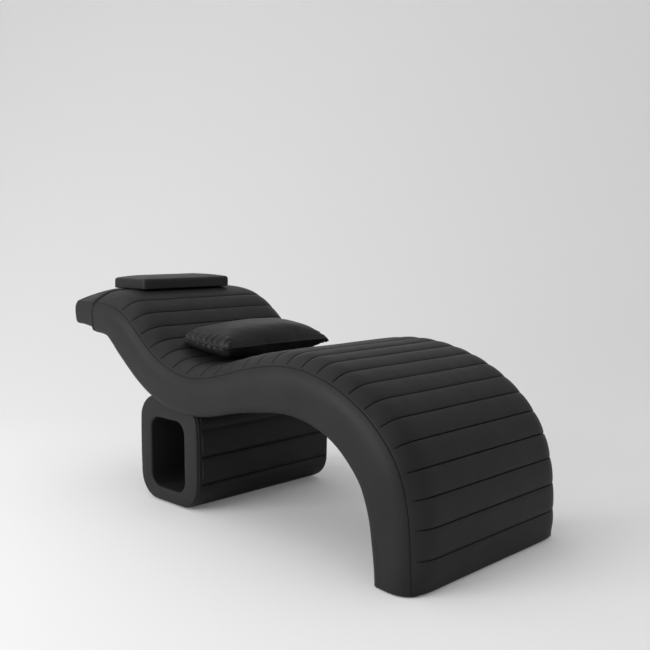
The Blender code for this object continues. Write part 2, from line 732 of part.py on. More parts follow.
def tunnel_outline(grow):
    """Outline (x, z) of the tunnel, with as many points as pedestal_outline gives."""
    half, radius = TUNNEL_WIDTH / 2.0 + grow, TUNNEL_CORNER + grow
    low, high = TUNNEL_FLOOR - grow, TUNNEL_TOP + grow
    count = len(upright_channels(0.0, 0.0))
    shares = [(k + 1.0) / (count + 1.0) for k in range(count)]
    between = [(half, low + radius + (high - low - 2.0 * radius) * share) for share in shares]
    return both_halves(upright_half(half, low, high, radius, radius, 0.0, between), PEDESTAL_X - TUNNEL_SHIFT)


def band(name, layers, finish):
    """A ring-shaped solid skinned through (outline, y) layers, round and back to the first."""
    return loft(name, [[(x, y, z) for x, z in outline] for outline, y in layers], finish, capped=False)


def add_saddle(face):
    """Cutter for the space that the wave takes above the pedestal."""
    near, far = -face - OVERRUN, face + OVERRUN
    rings = []
    for i in COARSE:
        s = WAVE.stations[i]
        low = -WAVE.depth(s) - GAP
        high = low + PEDESTAL_LAP + OVERRUN
        if abs(at(s, low, 0.0).x - PEDESTAL_X) < PEDESTAL_WIDTH / 2.0 + PEDESTAL_CORNER:
            rings.append([at(s, lift, y) for lift, y in ((low, near), (low, far), (high, far), (high, near))])
    return cutter("saddle", [rings])


def add_wrap(wrap_end):
    """The channelled cover round the pedestal's sides, foot and top corners."""
    full = pedestal_outline(0.0, 0.0, 0.0, PEDESTAL_PUFF)
    drawn = pedestal_outline(END_ROUND, 0.0, END_ROUND, 0.0)
    inner = pedestal_outline(PEDESTAL_WRAP, COVER, PEDESTAL_WRAP, 0.0)
    layers = ((drawn, -wrap_end), (full, WRAP_ROUND - wrap_end), (full, wrap_end - WRAP_ROUND),
              (drawn, wrap_end), (inner, wrap_end), (inner, -wrap_end))
    return band("pedestal_wrap", layers, "leather")


def add_pedestal_frames(wrap_end):
    """Three upright plywood frames inside the wrap, with the tunnel through them."""
    side = PEDESTAL_WRAP + PEDESTAL_BOARD + 2.0 * GAP
    outer = pedestal_outline(side, COVER + PEDESTAL_BOARD + 2.0 * GAP, PEDESTAL_WRAP + GAP, 0.0)
    inner = tunnel_outline(LINER_PLY + GAP)
    starts = {"near": -wrap_end, "middle": -RIB_PLY / 2.0, "far": wrap_end - RIB_PLY}
    frames = {}
    for name, y in starts.items():
        layers = ((outer, y), (outer, y + RIB_PLY), (inner, y + RIB_PLY), (inner, y))
        frames[name] = band("pedestal_frame_" + name, layers, "plywood")
    return frames


def add_pedestal_boards(wrap_end, wrap):
    """Flat boards behind the wrap's channelled faces, and the base board on its glides."""
    board_out = PEDESTAL_WIDTH / 2.0 - PEDESTAL_WRAP - GAP
    low, high = HEM_HEIGHT + PEDESTAL_CORNER, PEDESTAL_HEIGHT - PEDESTAL_CORNER
    for name, side in (("front", 1.0), ("back", -1.0)):
        faces = sorted((PEDESTAL_X + side * board_out, PEDESTAL_X + side * (board_out - PEDESTAL_BOARD)))
        box("pedestal_board_" + name, (faces[0], -wrap_end, low), (faces[1], wrap_end, high), "plywood")
    half = PEDESTAL_WIDTH / 2.0 - PEDESTAL_CORNER
    base_low = HEM_HEIGHT + COVER + GAP
    base = box("pedestal_base", (PEDESTAL_X - half, -wrap_end, base_low),
               (PEDESTAL_X + half, wrap_end, base_low + PEDESTAL_BOARD), "plywood")
    reach_x, reach_y = half - 2.0 * GLIDE_RADIUS, wrap_end - 2.0 * GLIDE_RADIUS
    spots = [Vector((PEDESTAL_X + x * reach_x, y * reach_y, 0.0)) for x in (-1.0, 1.0) for y in (-1.0, 1.0)]
    add_glides("pedestal_glide", spots, base_low + GLIDE_RECESS, (wrap, base))


def add_tunnel(wrap_end, face, saddle):
    """The tunnel's liner and the padded end faces round its two mouths."""
    liner, opening = tunnel_outline(LINER_PLY), tunnel_outline(0.0)
    layers = ((liner, -wrap_end), (liner, wrap_end), (opening, wrap_end), (opening, -wrap_end))
    band("tunnel_liner", layers, "leather")
    rounded = pedestal_outline(END_ROUND + GAP, 0.0, END_ROUND + GAP, 0.0)
    crowned = pedestal_outline(END_BEVEL, END_BEVEL_LOW, END_BEVEL, 0.0)
    for name, side in (("near", -1.0), ("far", 1.0)):
        inside, edge, outside = (side * y for y in (wrap_end + GAP, face - END_ROUND, face))
        layers = ((rounded, inside), (rounded, edge), (crowned, outside),
                  (tunnel_outline(END_ROUND), outside), (opening, edge), (opening, inside))
        cut(band("pedestal_end_" + name, layers, "leather"), saddle)


def add_pedestal():
    """The tunnel pedestal: wooden frames, boards and tunnel liner inside a channelled wrap."""
    face = HALF - PEDESTAL_INSET
    wrap_end = face - END_PAD
    saddle = add_saddle(face)
    wrap = add_wrap(wrap_end)
    frames = add_pedestal_frames(wrap_end)
    for item in (wrap, *frames.values()):
        cut(item, saddle)
    add_pedestal_boards(wrap_end, wrap)
    add_tunnel(wrap_end, face, saddle)
    add_bolts((wrap, frames["near"], frames["far"]), wrap_end)


def add_bolts(holed, wrap_end):
    """Bolts from the pedestal's outer frames up through the underside into the bolt rails."""
    shank = COVER + BENT_PLY + BOLT_BITE
    head_low, hole_top = -BOLT_GRIP - BOLT_HEAD_DEPTH, -BOLT_GRIP + GAP
    head_hole, shank_hole = BOLT_HEAD_RADIUS + BOLT_CLEARANCE, BOLT_RADIUS + GAP
    bolt = ((head_low, BOLT_HEAD_RADIUS), (-BOLT_GRIP, BOLT_HEAD_RADIUS), (-BOLT_GRIP, BOLT_RADIUS),
            (shank, BOLT_RADIUS))
    hole = ((head_low - OVERRUN, head_hole), (hole_top, head_hole), (hole_top, shank_hole),
            (shank + GAP, shank_hole))
    holes = []
    for k in bolt_stretches():
        spot, along, tilt = stretch(k, under_lift(0.0))
        inward = Vector((along.z, 0.0, -along.x))
        for y in (RIB_PLY / 2.0 - wrap_end, wrap_end - RIB_PLY / 2.0):
            base = Vector((spot.x, y, spot.z))
            loft("pedestal_bolt_%d" % (len(holes) + 1), disc_rings(base, inward, bolt), "steel")
            holes.append(disc_rings(base, inward, hole))
    tool = cutter("bolt_holes", holes)
    through = [item for item in bpy.data.objects if item.name.startswith(("under_", "bolt_rail_"))]
    for item in (*holed, *through):
        cut(item, tool)


def rounded_plan(half_x, half_y, corner):
    """Points (x, y) round a rectangle with rounded corners."""
    points = []
    for quarter, (sx, sy) in enumerate(((1, 1), (-1, 1), (-1, -1), (1, -1))):
        for k in range(ROUND_STEPS + 1):
            angle = (quarter + k / ROUND_STEPS) * math.pi / 2.0
            x, y = sx * (half_x - corner), sy * (half_y - corner)
            points.append((x + corner * math.cos(angle), y + corner * math.sin(angle)))
    return points


def add_head_pillow():
    """Flat head pillow that lies half on the head panel and half on the head block."""
    rest = head_top() + GAP
    edge = HEAD_PILLOW_THICKNESS * PILLOW_EDGE_SHARE
    levels = [(edge * (1.0 - sine), edge * (1.0 - cosine)) for sine, cosine in quarter_turn()]
    top = HEAD_PILLOW_THICKNESS - PILLOW_CROWN
    profile = levels + [(inset, top - rise) for inset, rise in reversed(levels)]
    profile.append((HEAD_PILLOW_LENGTH * PILLOW_FLAT_SHARE, HEAD_PILLOW_THICKNESS))
    rings = []
    for inset, rise in profile:
        plan = rounded_plan(HEAD_PILLOW_LENGTH / 2.0 - inset, HEAD_PILLOW_WIDTH / 2.0 - inset, PILLOW_CORNER)
        rings.append([(FOOT_X - HEAD_END + x, y, rest + rise) for x, y in plan])
    loft("head_pillow", rings, "leather")


def top_height(x):
    """Height of the highest channel surface over a place along the bed, with the touching gap."""
    places = [at(s, WAVE.crown(s) + PUFF, 0.0) for s in WAVE.stations]
    for low, high in zip(places[:-1], places[1:]):
        if high.x <= x < low.x:
            return low.z + (high.z - low.z) * (x - low.x) / (high.x - low.x) + 2.0 * GAP
    return 0.0


def lumbar_point(u, v, side):
    """A place on the lumbar pillow, u across the bed and v along it from -1 to 1, on its top or belly."""
    x = v * LUMBAR_LENGTH / 2.0 * (1.0 - LUMBAR_DRAW_SHARE * (1.0 - u * u))
    y = u * LUMBAR_WIDTH / 2.0 * (1.0 - LUMBAR_DRAW_SHARE * (1.0 - v * v))
    swell = ((1.0 - abs(u) ** SWELL_POWER) * (1.0 - abs(v) ** SWELL_POWER)) ** SWELL_SOFTNESS
    seam = top_height(SEAT_X) - 2.0 * GAP - LUMBAR_SINK + LUMBAR_THICKNESS / 2.0
    z = seam - x * math.tan(LUMBAR_TILT) + side * swell * LUMBAR_THICKNESS / 2.0
    place = SEAT_X - LUMBAR_SETBACK + x
    return place, y, max(z, top_height(place))


def even_turns(count):
    """Values from -1 to 1 that crowd towards both ends."""
    return [math.sin((2.0 * i / count - 1.0) * math.pi / 2.0) for i in range(count + 1)]


def add_lumbar_pillow():
    """Knife-edged pillow that lies in the seat, with drawn-in sides and a belly pressed on the top."""
    bm = bmesh.new()
    across, along = even_turns(LUMBAR_COLUMNS), even_turns(LUMBAR_ROWS)
    top = [[bm.verts.new(lumbar_point(u, v, 1.0)) for v in along] for u in across]
    belly = []
    for i, u in enumerate(across):
        line = []
        for j, v in enumerate(along):
            on_rim = i in (0, LUMBAR_COLUMNS) or j in (0, LUMBAR_ROWS)
            line.append(top[i][j] if on_rim else bm.verts.new(lumbar_point(u, v, -1.0)))
        belly.append(line)
    for sheet in (top, belly):
        for i in range(LUMBAR_COLUMNS):
            for j in range(LUMBAR_ROWS):
                corners = (sheet[i][j], sheet[i][j + 1], sheet[i + 1][j + 1], sheet[i + 1][j])
                bm.faces.new(corners if sheet is top else corners[::-1])
    add_object("lumbar_pillow", close_mesh("lumbar_pillow", bm), "leather")


def main():
    clear_scene()
    add_channel_top()
    add_seat_foam()
    add_top_board()
    add_ribs()
    add_underside()
    add_sides()
    add_rails()
    add_head_end(add_end_boards())
    add_pedestal()
    add_head_pillow()
    add_lumbar_pillow()


main()
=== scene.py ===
"""The looks of a wave shaped treatment bed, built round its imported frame.

Units are metres, +Z is up, +X points to the foot end and -Y is the near side. The covers are
lofted along the same seam line as the frame, and the lumbar pillow is blown up as cloth.
"""
import math

import bmesh
import bpy
import numpy as np
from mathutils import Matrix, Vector, noise
from mathutils.bvhtree import BVHTree


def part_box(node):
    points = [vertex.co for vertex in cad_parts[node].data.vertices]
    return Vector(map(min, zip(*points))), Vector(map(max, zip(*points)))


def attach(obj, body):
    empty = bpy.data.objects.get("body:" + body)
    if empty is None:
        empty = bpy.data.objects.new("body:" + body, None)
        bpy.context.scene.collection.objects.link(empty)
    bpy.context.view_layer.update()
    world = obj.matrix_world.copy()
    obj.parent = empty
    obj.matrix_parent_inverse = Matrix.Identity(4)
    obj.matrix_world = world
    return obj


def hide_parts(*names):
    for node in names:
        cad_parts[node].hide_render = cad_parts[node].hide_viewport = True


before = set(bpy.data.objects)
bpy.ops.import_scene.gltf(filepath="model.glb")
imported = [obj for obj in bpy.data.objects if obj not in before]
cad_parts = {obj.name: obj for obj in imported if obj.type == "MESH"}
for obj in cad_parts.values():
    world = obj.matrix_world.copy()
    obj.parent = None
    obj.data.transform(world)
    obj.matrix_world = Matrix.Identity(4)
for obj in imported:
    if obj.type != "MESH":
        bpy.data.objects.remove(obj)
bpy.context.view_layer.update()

# The seam line and sizes of the wave, as in the frame
SEAM_WIDTH = 0.730
KNEE_LENGTH = 0.500
SEAT_LENGTH = 0.500
BACK_LENGTH = 0.605
KNEE_HEIGHT = 0.589
SEAT_HEIGHT = 0.4995
HEAD_HEIGHT = 0.730
SIDE_DEPTH = 0.145
HEM_HEIGHT = 0.004
HEM_PANEL = 0.097
HEAD_PANEL = 0.175
CHANNEL_PITCH = 0.0745
CROWN = 0.038
PUFF = 0.006
SHOULDER = 0.120
QUILT_DEPTH = 0.010
QUILT_EDGE = 0.002
FLANGE = 0.015
SIDE_BULGE = 0.017
SIDE_PAD = 0.012
HEM_TUCK = 0.004
COVER = 0.003
GAP = 0.0003
SHIN_SHARES = ((0.0066, 0.165), (0.10, 0.593), (0.30, 0.795), (0.60, 0.940))
SEAT_SHARES = ((0.559, 0.547),)
BACK_SHARES = ((0.367, 0.27), (0.471, 0.455), (0.704, 0.874))
DEPTH_SHARES = ((0.0, 0.92), (0.08, 1.0), (0.15, 1.09), (0.21, 1.11), (0.30, 1.065), (0.38, 1.045),
                (0.50, 1.01), (0.60, 0.917), (0.66, 0.925), (0.73, 0.97), (0.80, 1.0), (0.87, 1.025),
                (0.92, 0.95), (0.96, 0.82), (1.0, 0.80))
CROWN_SHARES = ((0.0, 0.45), (0.03, 0.80), (0.10, 1.0), (0.22, 1.0), (0.32, 0.86), (0.46, 0.97),
                (0.55, 1.0), (0.85, 1.0), (0.95, 1.15), (1.0, 1.15))
BULGE_SHARES = ((0.0, 1.25), (0.10, 1.0), (1.0, 1.0))
PITCH_SHARES = ((0.0, 1.19), (0.12, 0.99), (0.28, 0.96), (0.42, 0.90), (0.56, 1.0), (0.73, 1.12),
                (0.86, 1.03), (1.0, 1.0))
SHOULDER_POWER = 3.3
POWER_SHARES = ((0.0, 1.30), (0.28, 1.24), (0.42, 1.0), (0.92, 1.0), (1.0, 0.667))  # squarer at the foot
END_ROLL = 0.002  # rounding of the covers at the head end

# Sewing of the channels
CHANNEL_ROWS = 10  # from a groove to the middle of its channel
ROW_CROWD = 2.2
WIDE_ROWS = 0.8  # a wide channel has rows by this share of its width
SHOULDER_COLUMNS = 24
SHOULDER_CROWD = 1.6
MIDDLE_COLUMNS = 96
ROLL_POWER = 2.4
ROLL_SOFTNESS = 0.60
GROOVE_DEPTH = 0.0044
GROOVE_WIDTH = 0.0011
GROOVE_START = 0.003  # a groove begins this far in from the side seam
GROOVE_FULL_SHARES = ((0.0, 1.0), (0.16, 0.8), (0.26, 0.4), (1.0, 0.4))
GROOVE_FULL = 0.030  # and is full this far in, at the foot
VALLEY_DEPTH = 0.0022  # the covers roll into the side seam
VALLEY_WIDTH = 0.0022
PUCKER_HEIGHT = 0.0007
PUCKER_START = 0.002
PUCKER_REACH = 0.012
PUCKER_LENGTH = 0.011
DRAPE_HEIGHT = 0.0009
DRAPE_LENGTH = 0.11

# Sides
SIDE_COLUMNS = 30
SIDE_CREST_SHARE = 0.42
SIDE_CREST_POWER = 2.6
SIDE_FALL_SHARE = 0.76
SIDE_FALL = 0.20
SIDE_DRAPE = (0.16, 0.07, 1.0)
SEAM_ROWS = (0.0, 0.01, 0.022, 0.04, 0.07)  # rows next to the side seam, as shares of the depth
SEAM_ROWS_END = 0.10
WELT_START = 0.0012
WELT_WIDTH = 0.0062
WELT_RISE = 0.0003
WELT_SECTION = ((0.0, -0.4), (0.0, 0.5), (0.04, 0.85), (0.14, 1.0), (0.5, 1.0), (0.86, 1.0), (0.96, 0.85),
                (1.0, 0.5), (1.0, -0.4))  # shares across and of the rise
SEAM_STITCH = 0.0078  # from the side seam to the rows of stitches beside it

# Thread
STITCH_LENGTH = 0.0034
STITCH_PITCH = 0.0046
THREAD_RADIUS = 0.00034
THREAD_SIDES = 5
STITCH_SHAPE = ((0.0, -0.9, 0.55), (0.18, 0.35, 0.95), (0.82, 0.35, 0.95), (1.0, -0.9, 0.55))
STITCH_START = 0.004  # from the ends of the wave
STITCH_END = 0.006
PILLOW_STITCH = 1.9  # the lumbar pillow's stitches are this much larger

# Pedestal
PEDESTAL_WIDTH = 0.342
PEDESTAL_LAP = 0.0362
PEDESTAL_INSET = 0.034
PEDESTAL_SETBACK = 0.1865
PEDESTAL_CORNER = 0.090
TUNNEL_WIDTH = 0.206
TUNNEL_ROOF = 0.0448
TUNNEL_FLOOR = 0.057
TUNNEL_CORNER = 0.048
TUNNEL_SHIFT = 0.004
WRAP_PLY = 0.012
PEDESTAL_PUFF = 0.007
PEDESTAL_PITCH = 0.100
PEDESTAL_SKIRT = 0.010
END_PAD = 0.0085
END_ROUND = 0.0015
END_EDGE = 0.008
BORDER = 0.010  # plain border of the wrap next to its end faces
BORDER_DEPTH = 0.0016
BORDER_BLEND = 0.004
WRAP_ROWS = (0.0, 0.0006, 0.0014, 0.0024, 0.0034, 0.0044, 0.0050, 0.0055, 0.0060, 0.0065, 0.0070, 0.0078,
             0.009, 0.011, 0.014, 0.019, 0.028, 0.05)  # from an end, closest where the cover rolls
BORDER_PUFF = 0.35  # share of the channels' puff that the border has
PEDESTAL_BOW = 0.008
CORNER_STEPS = 14
UPRIGHT_STEPS = 44
MOUTH_ROUND = 0.008
FACE_CROWN = 0.0012
SADDLE_HEIGHT = 0.07
LINER_PLY = 0.006

# Head end
LIP_DEPTH = 0.018
LIP_EDGE = 0.0015  # the lip's outer edge stands this far inside the wave's end
LIP_ROUND = 0.002
CREASE_WIDTH = 0.014  # crease between the wave's end and the lip
CREASE_DEPTH = 0.024
SHADE_SHEET_DROP = 0.0005  # the dark sheet of painted shade in the crease lies this far below the lip
HEAD_BLOCK_LENGTH = 0.140
HEAD_BLOCK_DEPTH = 0.090
HEAD_BLOCK_LIFT = 0.003  # its shoulders start above the wave's seam
HEAD_BLOCK_ROUND = 0.024  # in plan; less so upright
BLOCK_ROUND_SHARE = 0.30
BLOCK_EDGE = 0.003
BLOCK_DROP = 0.009  # its underside falls this much towards the wave
BLOCK_BLEND = 0.10  # its shoulders lengthen over this much of its front
BLOCK_SHOULDER = 0.25
BLOCK_POWER = 1.9
BLOCK_BULGE = 0.013
BLOCK_CROWN = 0.001  # of its back, over the reach below
BLOCK_CROWN_REACH = 0.03

# Pillows
HEAD_PILLOW_WIDTH = 0.430
HEAD_PILLOW_LENGTH = 0.225
HEAD_PILLOW_THICKNESS = 0.054
HEAD_PILLOW_CORNER = 0.014
HEAD_PILLOW_CROWN = 0.011
TOP_ROLL = 0.013
BASE_ROLL = 0.005
PILLOW_SIDE_STEPS = 24
LUMBAR_WIDTH = 0.500
LUMBAR_LENGTH = 0.270
LUMBAR_THICKNESS = 0.130
LUMBAR_SETBACK = 0.062
LUMBAR_SINK = 0.0025
LUMBAR_TILT = math.radians(4.0)
CUT_WIDTH = 0.545  # its panels, cut flat
CUT_LENGTH = 0.325
CLOTH_CELL = 0.006
CLOTH_LOFT = 0.006
CLOTH_NOISE = 0.0006
CLOTH_SEED = 4
CLOTH_FRAMES = 32
CLOTH_SETTINGS = dict(
    quality=7, mass=0.3, use_pressure=True, uniform_pressure_force=3.0, tension_stiffness=25.0,
    compression_stiffness=25.0, shear_stiffness=15.0, bending_stiffness=0.05, tension_damping=15.0,
    compression_damping=15.0, shear_damping=15.0, bending_damping=1.0, air_damping=4.0)
CALM_PASSES = 8
GATHERS = 8  # folds along a short end
GATHER_HEIGHT = 0.0062
GATHER_START = 0.001
GATHER_PEAK = 0.010
GATHER_REACH = 0.056
GATHER_LEAN = 0.45
GATHER_SWAY = 0.4
GATHER_SHARPNESS = 0.8
GATHER_UNEVEN = 0.5
CORNER_FADE = 0.03
PUCKER_RISE = 0.0003
PUCKER_SPACING = 0.022
PUCKER_LEAN = 0.3
PUCKER_FADE = (0.006, 0.030)
SEAM_REACH = 0.0034
SEAM_THICK = 0.0026
PILLOW_STITCHES = (("outer", 0, 0.0035), ("inner", 0, 0.0095), ("under", 1, 0.0035))  # panel, from the rim
EAR_RADIUS = 0.006  # blunt knots of thread and leather at its corners
LUMBAR_BODY = "lumbar_pillow_body"
RIM = (np.s_[0, :], np.s_[-1, :], np.s_[:, 0], np.s_[:, -1])  # of a grid of places

SHARP_ANGLE = math.radians(50.0)
SIDES = (("near", -1.0), ("far", 1.0))
HALF = SEAM_WIDTH / 2.0
HEAD_END = KNEE_LENGTH + SEAT_LENGTH + BACK_LENGTH
FOOT_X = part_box("side_pad_near")[1].x + GAP
SEAT_X = FOOT_X - KNEE_LENGTH - SEAT_LENGTH
PEDESTAL_X = SEAT_X - PEDESTAL_SETBACK


def smooth_step(low, high, value):
    k = np.clip((np.asarray(value) - low) / (high - low), 0.0, 1.0)
    return k * k * (3.0 - 2.0 * k)


def smooth_table(table, u):
    """Reads a table of (share, value) rows at u, on a smooth curve that never runs past a row."""
    shares, values = np.array(table).T
    step, rise = np.diff(shares), np.diff(values)
    grade = rise / step
    slopes = np.zeros(len(shares))
    same_way = grade[:-1] * grade[1:] > 0.0
    before, after = grade[:-1][same_way], grade[1:][same_way]
    slopes[1:-1][same_way] = 2.0 * before * after / (before + after)
    i = np.clip(np.searchsorted(shares, u, side="right") - 1, 0, len(step) - 1)
    k = np.clip((u - shares[i]) / step[i], 0.0, 1.0)
    bend = slopes[i] * (1.0 - k) - slopes[i + 1] * k
    return values[i] + rise[i] * k * k * (3.0 - 2.0 * k) + step[i] * k * (1.0 - k) * bend


def run_along(points):
    """Distance walked from the first point to each one, along the first axis."""
    steps = np.linalg.norm(np.diff(points, axis=0), axis=-1)
    return np.concatenate((np.zeros_like(steps[:1]), np.cumsum(steps, axis=0)))


def read_at(runs, along, table):
    """Rows of a table at the runs, in between the rows that it has at the runs along."""
    return np.stack([np.interp(runs, along, column) for column in table.T], axis=-1)


def unit(vectors):
    return vectors / np.linalg.norm(vectors, axis=-1, keepdims=True)


def quarter_round(radius, steps):
    """Places (x, z) on a quarter round that leaves one side and ends on the other."""
    angle = np.linspace(0.0, math.pi / 2.0, steps)
    return radius * (1.0 - np.stack((np.cos(angle), np.sin(angle)), axis=1))


def leg(start, end, shares):
    """Knots of the seam line from one place up to the next."""
    (x0, z0), (x1, z1) = start, end
    return [start] + [(x0 + (x1 - x0) * along, z0 + (z1 - z0) * up) for along, up in shares]


def clamped_spline(knots, start, end, count):
    """Points along a smooth cubic curve through the knots, leaving and arriving as told."""
    knots = np.array(knots)
    span = np.linalg.norm(np.diff(knots, axis=0), axis=1)
    size = len(knots)
    system = np.zeros((size, size))
    right = np.zeros((size, 2))
    system[0, 0] = system[-1, -1] = 1.0
    right[0], right[-1] = start, end
    for i in range(1, size - 1):
        before, after = span[i - 1], span[i]
        system[i, i - 1:i + 2] = (after, 2.0 * (before + after), before)
        rise = (knots[i] - knots[i - 1]) * after / before + (knots[i + 1] - knots[i]) * before / after
        right[i] = 3.0 * rise
    slopes = np.linalg.solve(system, right)
    points = []
    for i in range(size - 1):
        for k in np.linspace(0.0, 1.0, count, endpoint=i == size - 2):
            ahead = k * k * (3.0 - 2.0 * k)
            bend = slopes[i] * k * (1.0 - k) ** 2 - slopes[i + 1] * k * k * (1.0 - k)
            points.append(knots[i] * (1.0 - ahead) + knots[i + 1] * ahead + bend * span[i])
    return np.array(points)


def seam_line():
    """The side seam line from foot to head end, the runs along it and the way out of the bed."""
    foot, knee = (0.0, HEM_HEIGHT), (-KNEE_LENGTH, KNEE_HEIGHT)
    seat, head = (-KNEE_LENGTH - SEAT_LENGTH, SEAT_HEIGHT), (-HEAD_END, HEAD_HEIGHT)
    knots = leg(foot, knee, SHIN_SHARES) + leg(knee, seat, SEAT_SHARES) + leg(seat, head, BACK_SHARES)
    line = clamped_spline(knots + [head], (0.0, 1.0), (-1.0, 0.0), 160)
    along = run_along(line)
    tangent = unit(np.gradient(line, along, axis=0))
    out = np.stack((tangent[:, 1], -tangent[:, 0]), axis=1)
    out[0], out[-1] = (1.0, 0.0), (0.0, 1.0)
    return line, along, out


LINE, ALONG, OUT = seam_line()
RUN = ALONG[-1]


def cover_marks():
    """Runs of the cover's ends and its grooves: the channels are wider at the foot and in the seat."""
    middle = RUN - HEM_PANEL - HEAD_PANEL
    channels = round(middle / CHANNEL_PITCH)
    widths = smooth_table(PITCH_SHARES, (np.arange(channels) + 0.5) / channels)
    grooves = HEM_PANEL + middle * np.concatenate(([0.0], np.cumsum(widths))) / widths.sum()
    return np.array([0.0, *grooves, RUN])


MARKS = cover_marks()


def cover_rows():
    """Runs along the wave, crowded next to the grooves."""
    rows = []
    for low, high in zip(MARKS[:-1], MARKS[1:]):
        count = round(CHANNEL_ROWS * max(1.0, (high - low) / CHANNEL_PITCH * WIDE_ROWS))
        half = (high - low) / 2.0 * np.linspace(0.0, 1.0, count + 1) ** ROW_CROWD
        rows.extend(low + half[:-1])
        rows.extend(high - half[:0:-1])
    return np.array(rows + [RUN])


ROWS = cover_rows()


def from_groove(s):
    """Distance to the nearest groove or end of the cover."""
    return np.abs(np.asarray(s)[..., None] - MARKS).min(axis=-1)


def depth_at(s):
    return SIDE_DEPTH * smooth_table(DEPTH_SHARES, s / RUN)


def crown_at(s):
    return CROWN * smooth_table(CROWN_SHARES, s / RUN)


def bulge_at(s):
    return SIDE_BULGE * smooth_table(BULGE_SHARES, s / RUN)


def power_at(s):
    """How square the shoulders of the top are."""
    return SHOULDER_POWER * smooth_table(POWER_SHARES, s / RUN)


def end_roll_at(s):
    """How far the covers roll in at the head end."""
    k = np.clip(1.0 - (RUN - s) / END_ROLL, 0.0, 1.0)
    return END_ROLL * (1.0 - np.sqrt(1.0 - k * k))


def place(s, lift, y):
    """World points at the runs s, lifted off the seam line, y across the bed."""
    s, lift, y = np.broadcast_arrays(s, lift, y)
    spot = read_at(s, ALONG, LINE) + lift[..., None] * read_at(s, ALONG, OUT)
    return np.stack((FOOT_X + spot[..., 0], y, spot[..., 1]), axis=-1)


def shoulder(t, power=SHOULDER_POWER):
    """Rise of the top, 0 at the seam and 1 past the shoulder, at the distance t in from the seam."""
    k = 1.0 - np.clip(t / SHOULDER, 0.0, 1.0)
    return 1.0 - k**power


def roll(distance, radius):
    """Puff of a channel, 0 at its groove and 1 from the radius on."""
    k = 1.0 - np.clip(distance / radius, 0.0, 1.0)
    return (1.0 - k**ROLL_POWER) ** ROLL_SOFTNESS


def groove_cut(distance):
    """Depth of the narrow valley that the thread pulls in."""
    return GROOVE_DEPTH * np.exp(-(distance / GROOVE_WIDTH) ** 2)


def valley(distance):
    """How far a cover is drawn in next to its side seam."""
    return VALLEY_DEPTH * np.clip(1.0 - distance / VALLEY_WIDTH, 0.0, 1.0) ** 2


def noise_field(points, scale, seed):
    """Soft noise from -1 to 1 at points, stretched by the scale along each axis."""
    flat = points.reshape(-1, points.shape[-1]) / scale + seed
    return np.array([noise.noise(Vector(p)) for p in flat]).reshape(points.shape[:-1])


# Meshes

def new_object(name, data):
    item = bpy.data.objects.new(name, data)
    bpy.context.scene.collection.objects.link(item)
    return item


def new_mesh(name, verts, faces):
    mesh = bpy.data.meshes.new(name)
    mesh.from_pydata([tuple(v) for v in verts], [], faces)
    mesh.update()
    mesh.shade_smooth()
    return new_object(name, mesh)


def make_object(name, verts, faces, body="bed"):
    item = new_mesh(name, verts, faces)
    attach(item, body)
    return item


def ring_faces(rows, columns, closed=False):
    """Faces of a skin over rings of vertices, capped unless its last ring joins its first."""
    i, j = np.meshgrid(np.arange(rows if closed else rows - 1), np.arange(columns), indexing="ij")
    low, high = i * columns, (i + 1) % rows * columns
    ahead = (j + 1) % columns
    quads = np.stack((low + j, low + ahead, high + ahead, high + j), axis=-1)
    faces = [tuple(int(v) for v in quad) for quad in quads.reshape(-1, 4)]
    if not closed:
        faces.append(tuple(range(columns))[::-1])
        faces.append(tuple(range((rows - 1) * columns, rows * columns)))
    return faces


def skin(name, rings, body="bed", closed=False):
    """A closed solid through rings of points."""
    rings = np.asarray(rings)
    item = make_object(name, rings.reshape(-1, 3), ring_faces(*rings.shape[:2], closed), body)
    bm = bmesh.new()
    bm.from_mesh(item.data)
    if bm.calc_volume(signed=True) < 0.0:
        bmesh.ops.reverse_faces(bm, faces=bm.faces)
    bm.to_mesh(item.data)
    bm.free()
    item.data.set_sharp_from_angle(angle=SHARP_ANGLE)
    return item


def finish(item, look, *nodes):
    """Gives a piece its material, and hides the frame's nodes that it stands for."""
    material, slot = look
    item.data.materials.clear()
    item.data.materials.append(material)
    if nodes:
        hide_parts(*nodes)
    return item


# Materials

class Recipe:
    """A procedural material in the making, laid out over the object's own coordinates."""

    def __init__(self, name, roughness):
        self.material = bpy.data.materials.new(name)
        self.material.use_nodes = True
        self.tree = self.material.node_tree
        self.shader = self.tree.nodes["Principled BSDF"]
        self.shader.inputs["Roughness"].default_value = roughness
        self.spot = self.tree.nodes.new("ShaderNodeTexCoord").outputs["Object"]

    def link(self, source, node, entry):
        self.tree.links.new(source, node.inputs[entry])

    def node(self, kind, source, entry, values, **settings):
        """A new node with its settings and values, and the source linked to its entry."""
        made = self.tree.nodes.new("ShaderNode" + kind)
        for key, value in settings.items():
            setattr(made, key, value)
        for key, value in values.items():
            made.inputs[key].default_value = value
        self.link(source, made, entry)
        return made

    def noise(self, scale, detail, source=None):
        source = self.spot if source is None else source
        return self.node("TexNoise", source, "Vector", {"Scale": scale, "Detail": detail}).outputs["Fac"]

    def tone(self, source, *stops):
        """Colours the surface by the source, along stops of (place, colour)."""
        node = self.node("ValToRGB", source, "Fac", {})
        elements = node.color_ramp.elements
        while len(elements) < len(stops):
            elements.new(0.5)
        for element, (spot, colour) in zip(elements, stops):
            element.position = spot
            element.color = (*colour, 1.0)
        self.link(node.outputs["Color"], self.shader, "Base Color")

    def bump(self, source, strength, distance):
        node = self.node("Bump", source, "Height", {"Strength": strength, "Distance": distance})
        self.link(node.outputs["Normal"], self.shader, "Normal")


